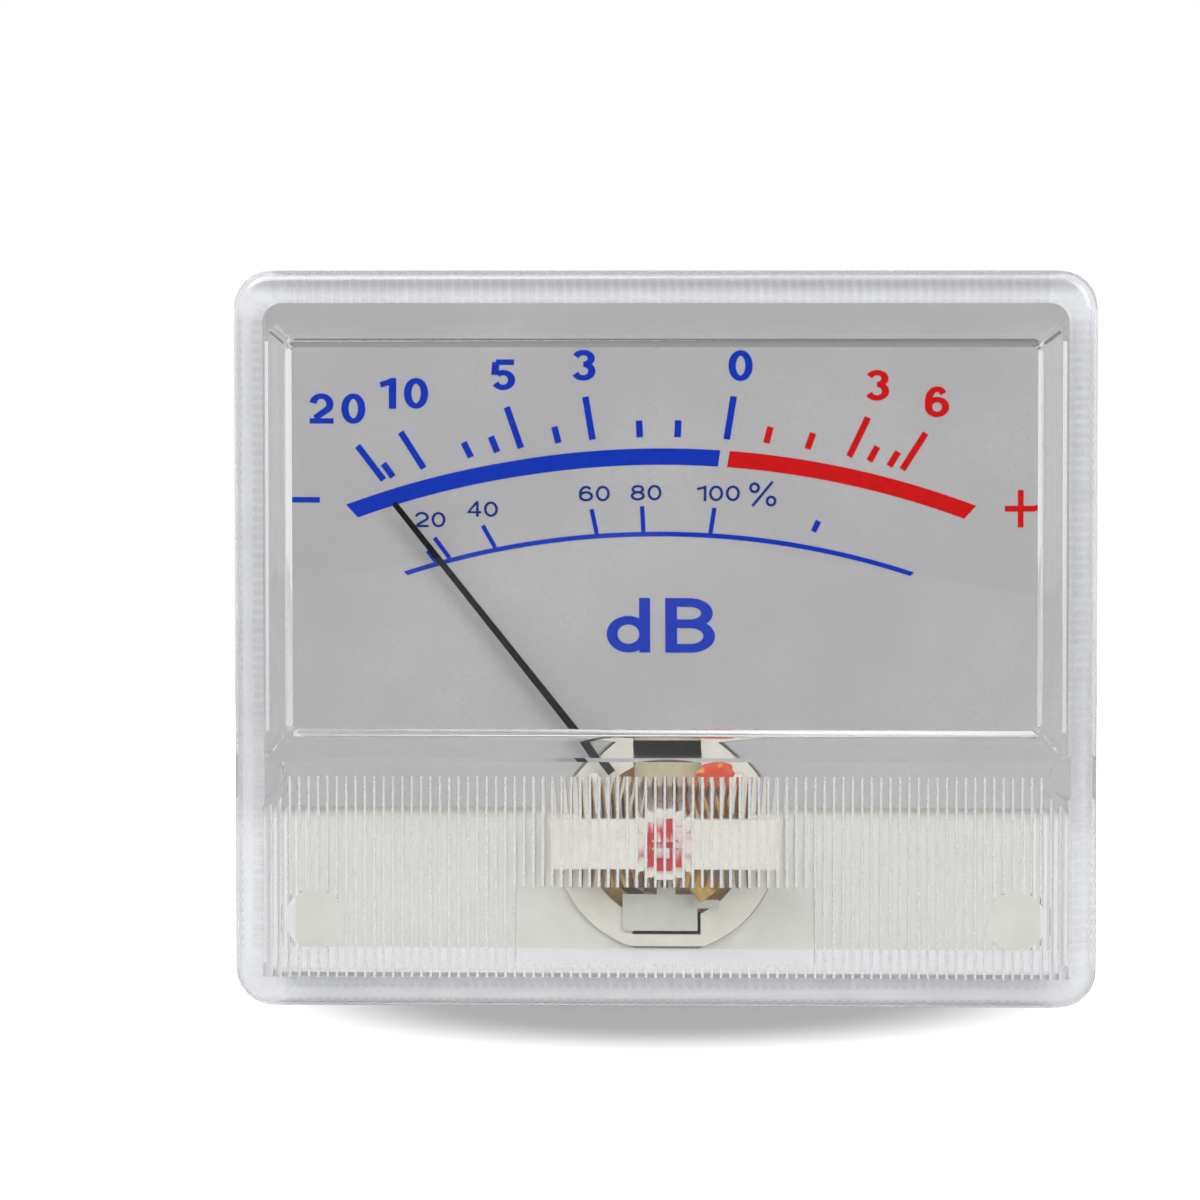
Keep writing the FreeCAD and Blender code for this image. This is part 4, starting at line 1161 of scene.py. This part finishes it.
def varnish_dab():
    """A hardened drop of varnish on the frame's front ring."""
    rows, columns = 8, 36
    points = varnish_points(rows, columns)
    faces = [(0, 1 + (i + 1) % columns, 1 + i) for i in range(columns)]
    for row in range(rows - 1):
        start = 1 + row * columns
        for i in range(columns):
            j = (i + 1) % columns
            faces.append((start + i, start + j, start + columns + j, start + columns + i))
    faces.append(tuple(range(len(points) - columns, len(points))))
    dab = outward(new_piece("varnish_dab", points, faces, VARNISH_SMOOTH_ANGLE))
    paint(dab, FINISHES["varnish"])
    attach(dab, "case")


def add_pieces():
    """Adds the cover that stands in for its CAD node, the varnish and the dial's print."""
    varnish_dab()
    cover = clear_cover()
    paint(cover, clear_plastic())
    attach(cover, "case")
    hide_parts("front_cover")
    blue, dark, red = dial_print()
    for pieces, finish in ((blue, "blue_ink"), (dark, "dark_ink"), (red, "red_ink")):
        for piece in pieces:
            paint(piece, FINISHES[finish])
            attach(piece, "case")


# ---- stage ---------------------------------------------------------------------------
def grey(value):
    return value, value, value, 1


def floor_tone(tree, rays):
    """A pale floor for the light that it throws back, and a darker one where it is seen."""
    mirrored = math_node(tree, "SUBTRACT", rays["Is Glossy Ray"], rays["Is Transmission Ray"])
    mirrored.node.use_clamp = True
    seen = math_node(tree, "MAXIMUM", rays["Is Camera Ray"], mirrored)
    return mix_colors(tree, seen, grey(FLOOR_COLOR), grey(FLOOR_SEEN_COLOR))


def floor_glow(tree, rays):
    """Whitens the floor away from the object, and near it where it is seen through plastic."""
    oval = tree.nodes.new("ShaderNodeMapping")
    oval.inputs["Scale"].default_value = (1 / FLOOR_OVAL[0], 1 / FLOOR_OVAL[1], 0)
    tree.links.new(tree.nodes.new("ShaderNodeTexCoord").outputs["Object"], oval.inputs["Vector"])
    away = tree.nodes.new("ShaderNodeVectorMath")
    away.operation = "LENGTH"
    tree.links.new(oval.outputs["Vector"], away.inputs[0])
    distance = away.outputs["Value"]
    far = map_range(tree, distance, *FLOOR_GLOW_RANGE, 0.0, FLOOR_GLOW)
    far.node.interpolation_type = "SMOOTHSTEP"
    near = map_range(tree, distance, *FLOOR_GLOW_RANGE, FLOOR_GLOW_THROUGH, 0.0)
    far_seen = math_node(tree, "MULTIPLY", rays["Is Camera Ray"], far)
    return math_node(tree, "MULTIPLY_ADD", rays["Is Transmission Ray"], near, far_seen)


def floor_material():
    material = bpy.data.materials.new("floor_white")
    material.use_nodes = True
    tree = material.node_tree
    nodes, links = tree.nodes, tree.links
    nodes.remove(nodes["Principled BSDF"])
    rays = nodes.new("ShaderNodeLightPath").outputs
    diffuse = nodes.new("ShaderNodeBsdfDiffuse")
    links.new(floor_tone(tree, rays), diffuse.inputs["Color"])
    glow = nodes.new("ShaderNodeEmission")
    links.new(floor_glow(tree, rays), glow.inputs["Strength"])
    both = nodes.new("ShaderNodeAddShader")
    links.new(diffuse.outputs[0], both.inputs[0])
    links.new(glow.outputs[0], both.inputs[1])
    links.new(both.outputs[0], nodes["Material Output"].inputs["Surface"])
    return material


def white_floor():
    """A floor that keeps the object's shadow and is white away from it."""
    z = -half_height * MM
    left, right, front, back = FLOOR_EDGES
    corners = [(left, front, z), (right, front, z), (right, back, z), (left, back, z)]
    mesh = bpy.data.meshes.new("floor")
    mesh.from_pydata(corners, [], [(0, 1, 2, 3)])
    mesh.materials.append(floor_material())
    floor = bpy.data.objects.new("floor", mesh)
    bpy.context.scene.collection.objects.link(floor)


def white_world():
    """White where it is seen, plain for spread light, darker for sharp rays to -Y and +Z."""
    world = bpy.data.worlds.new("studio")
    bpy.context.scene.world = world
    world.use_nodes = True
    tree = world.node_tree
    toward_sky = split_xyz(tree, tree.nodes.new("ShaderNodeTexCoord").outputs["Generated"])
    front = map_range(tree, toward_sky["Y"], *DARK_SIDE_RANGE, DARK_SIDE, 1.0)
    top = map_range(tree, toward_sky["Z"], *TOP_SHADE_RANGE, 1.0, TOP_SHADE)
    room = math_node(tree, "MULTIPLY", front, top)
    rays = tree.nodes.new("ShaderNodeLightPath").outputs
    sharp = math_node(tree, "MAXIMUM", rays["Is Glossy Ray"], rays["Is Transmission Ray"])
    light = tree.nodes.new("ShaderNodeMix")
    light.inputs["A"].default_value = SKY_LIGHT
    tree.links.new(sharp, light.inputs["Factor"])
    tree.links.new(room, light.inputs["B"])
    strength = math_node(tree, "MAXIMUM", light.outputs["Result"], rays["Is Camera Ray"])
    background = tree.nodes["Background"]
    background.inputs["Color"].default_value = (1, 1, 1, 1)
    tree.links.new(strength, background.inputs["Strength"])


def lamp(name, place, size, power):
    """A square area lamp aimed at the origin, its place and size in metres."""
    data = bpy.data.lights.new(name, "AREA")
    data.shape = "SQUARE"
    data.size = size
    data.energy = power
    holder = bpy.data.objects.new(name, data)
    holder.visible_transmission = False
    holder.location = place
    holder.rotation_euler = (-Vector(place)).to_track_quat("-Z", "Y").to_euler()
    bpy.context.scene.collection.objects.link(holder)


def camera():
    """The photograph's view, aimed at the middle of the face."""
    data = bpy.data.cameras.new("camera")
    data.lens = CAMERA_LENS
    data.sensor_width = CAMERA_SENSOR
    data.shift_x = (IMAGE_SIZE / 2 - FACE_CENTRE_PX[0]) / IMAGE_SIZE
    data.shift_y = (FACE_CENTRE_PX[1] - IMAGE_SIZE / 2) / IMAGE_SIZE
    data.clip_start, data.clip_end = CAMERA_CLIP
    holder = bpy.data.objects.new("camera", data)
    bpy.context.scene.collection.objects.link(holder)
    turn, rise = math.radians(CAMERA_AZIMUTH), math.radians(CAMERA_ELEVATION)
    back = Vector(
        (math.sin(turn) * math.cos(rise), -math.cos(turn) * math.cos(rise), math.sin(rise))
    )
    target = Vector((0, face_y, 0)) * MM
    holder.location = target + back * CAMERA_DISTANCE * MM
    holder.rotation_euler = (-back).to_track_quat("-Z", "Y").to_euler()
    bpy.context.scene.camera = holder


def stage():
    white_floor()
    white_world()
    for settings in LAMPS:
        lamp(*settings)
    bpy.context.scene.view_settings.view_transform = "Standard"
    camera()


dress_nodes()
add_pieces()
stage()
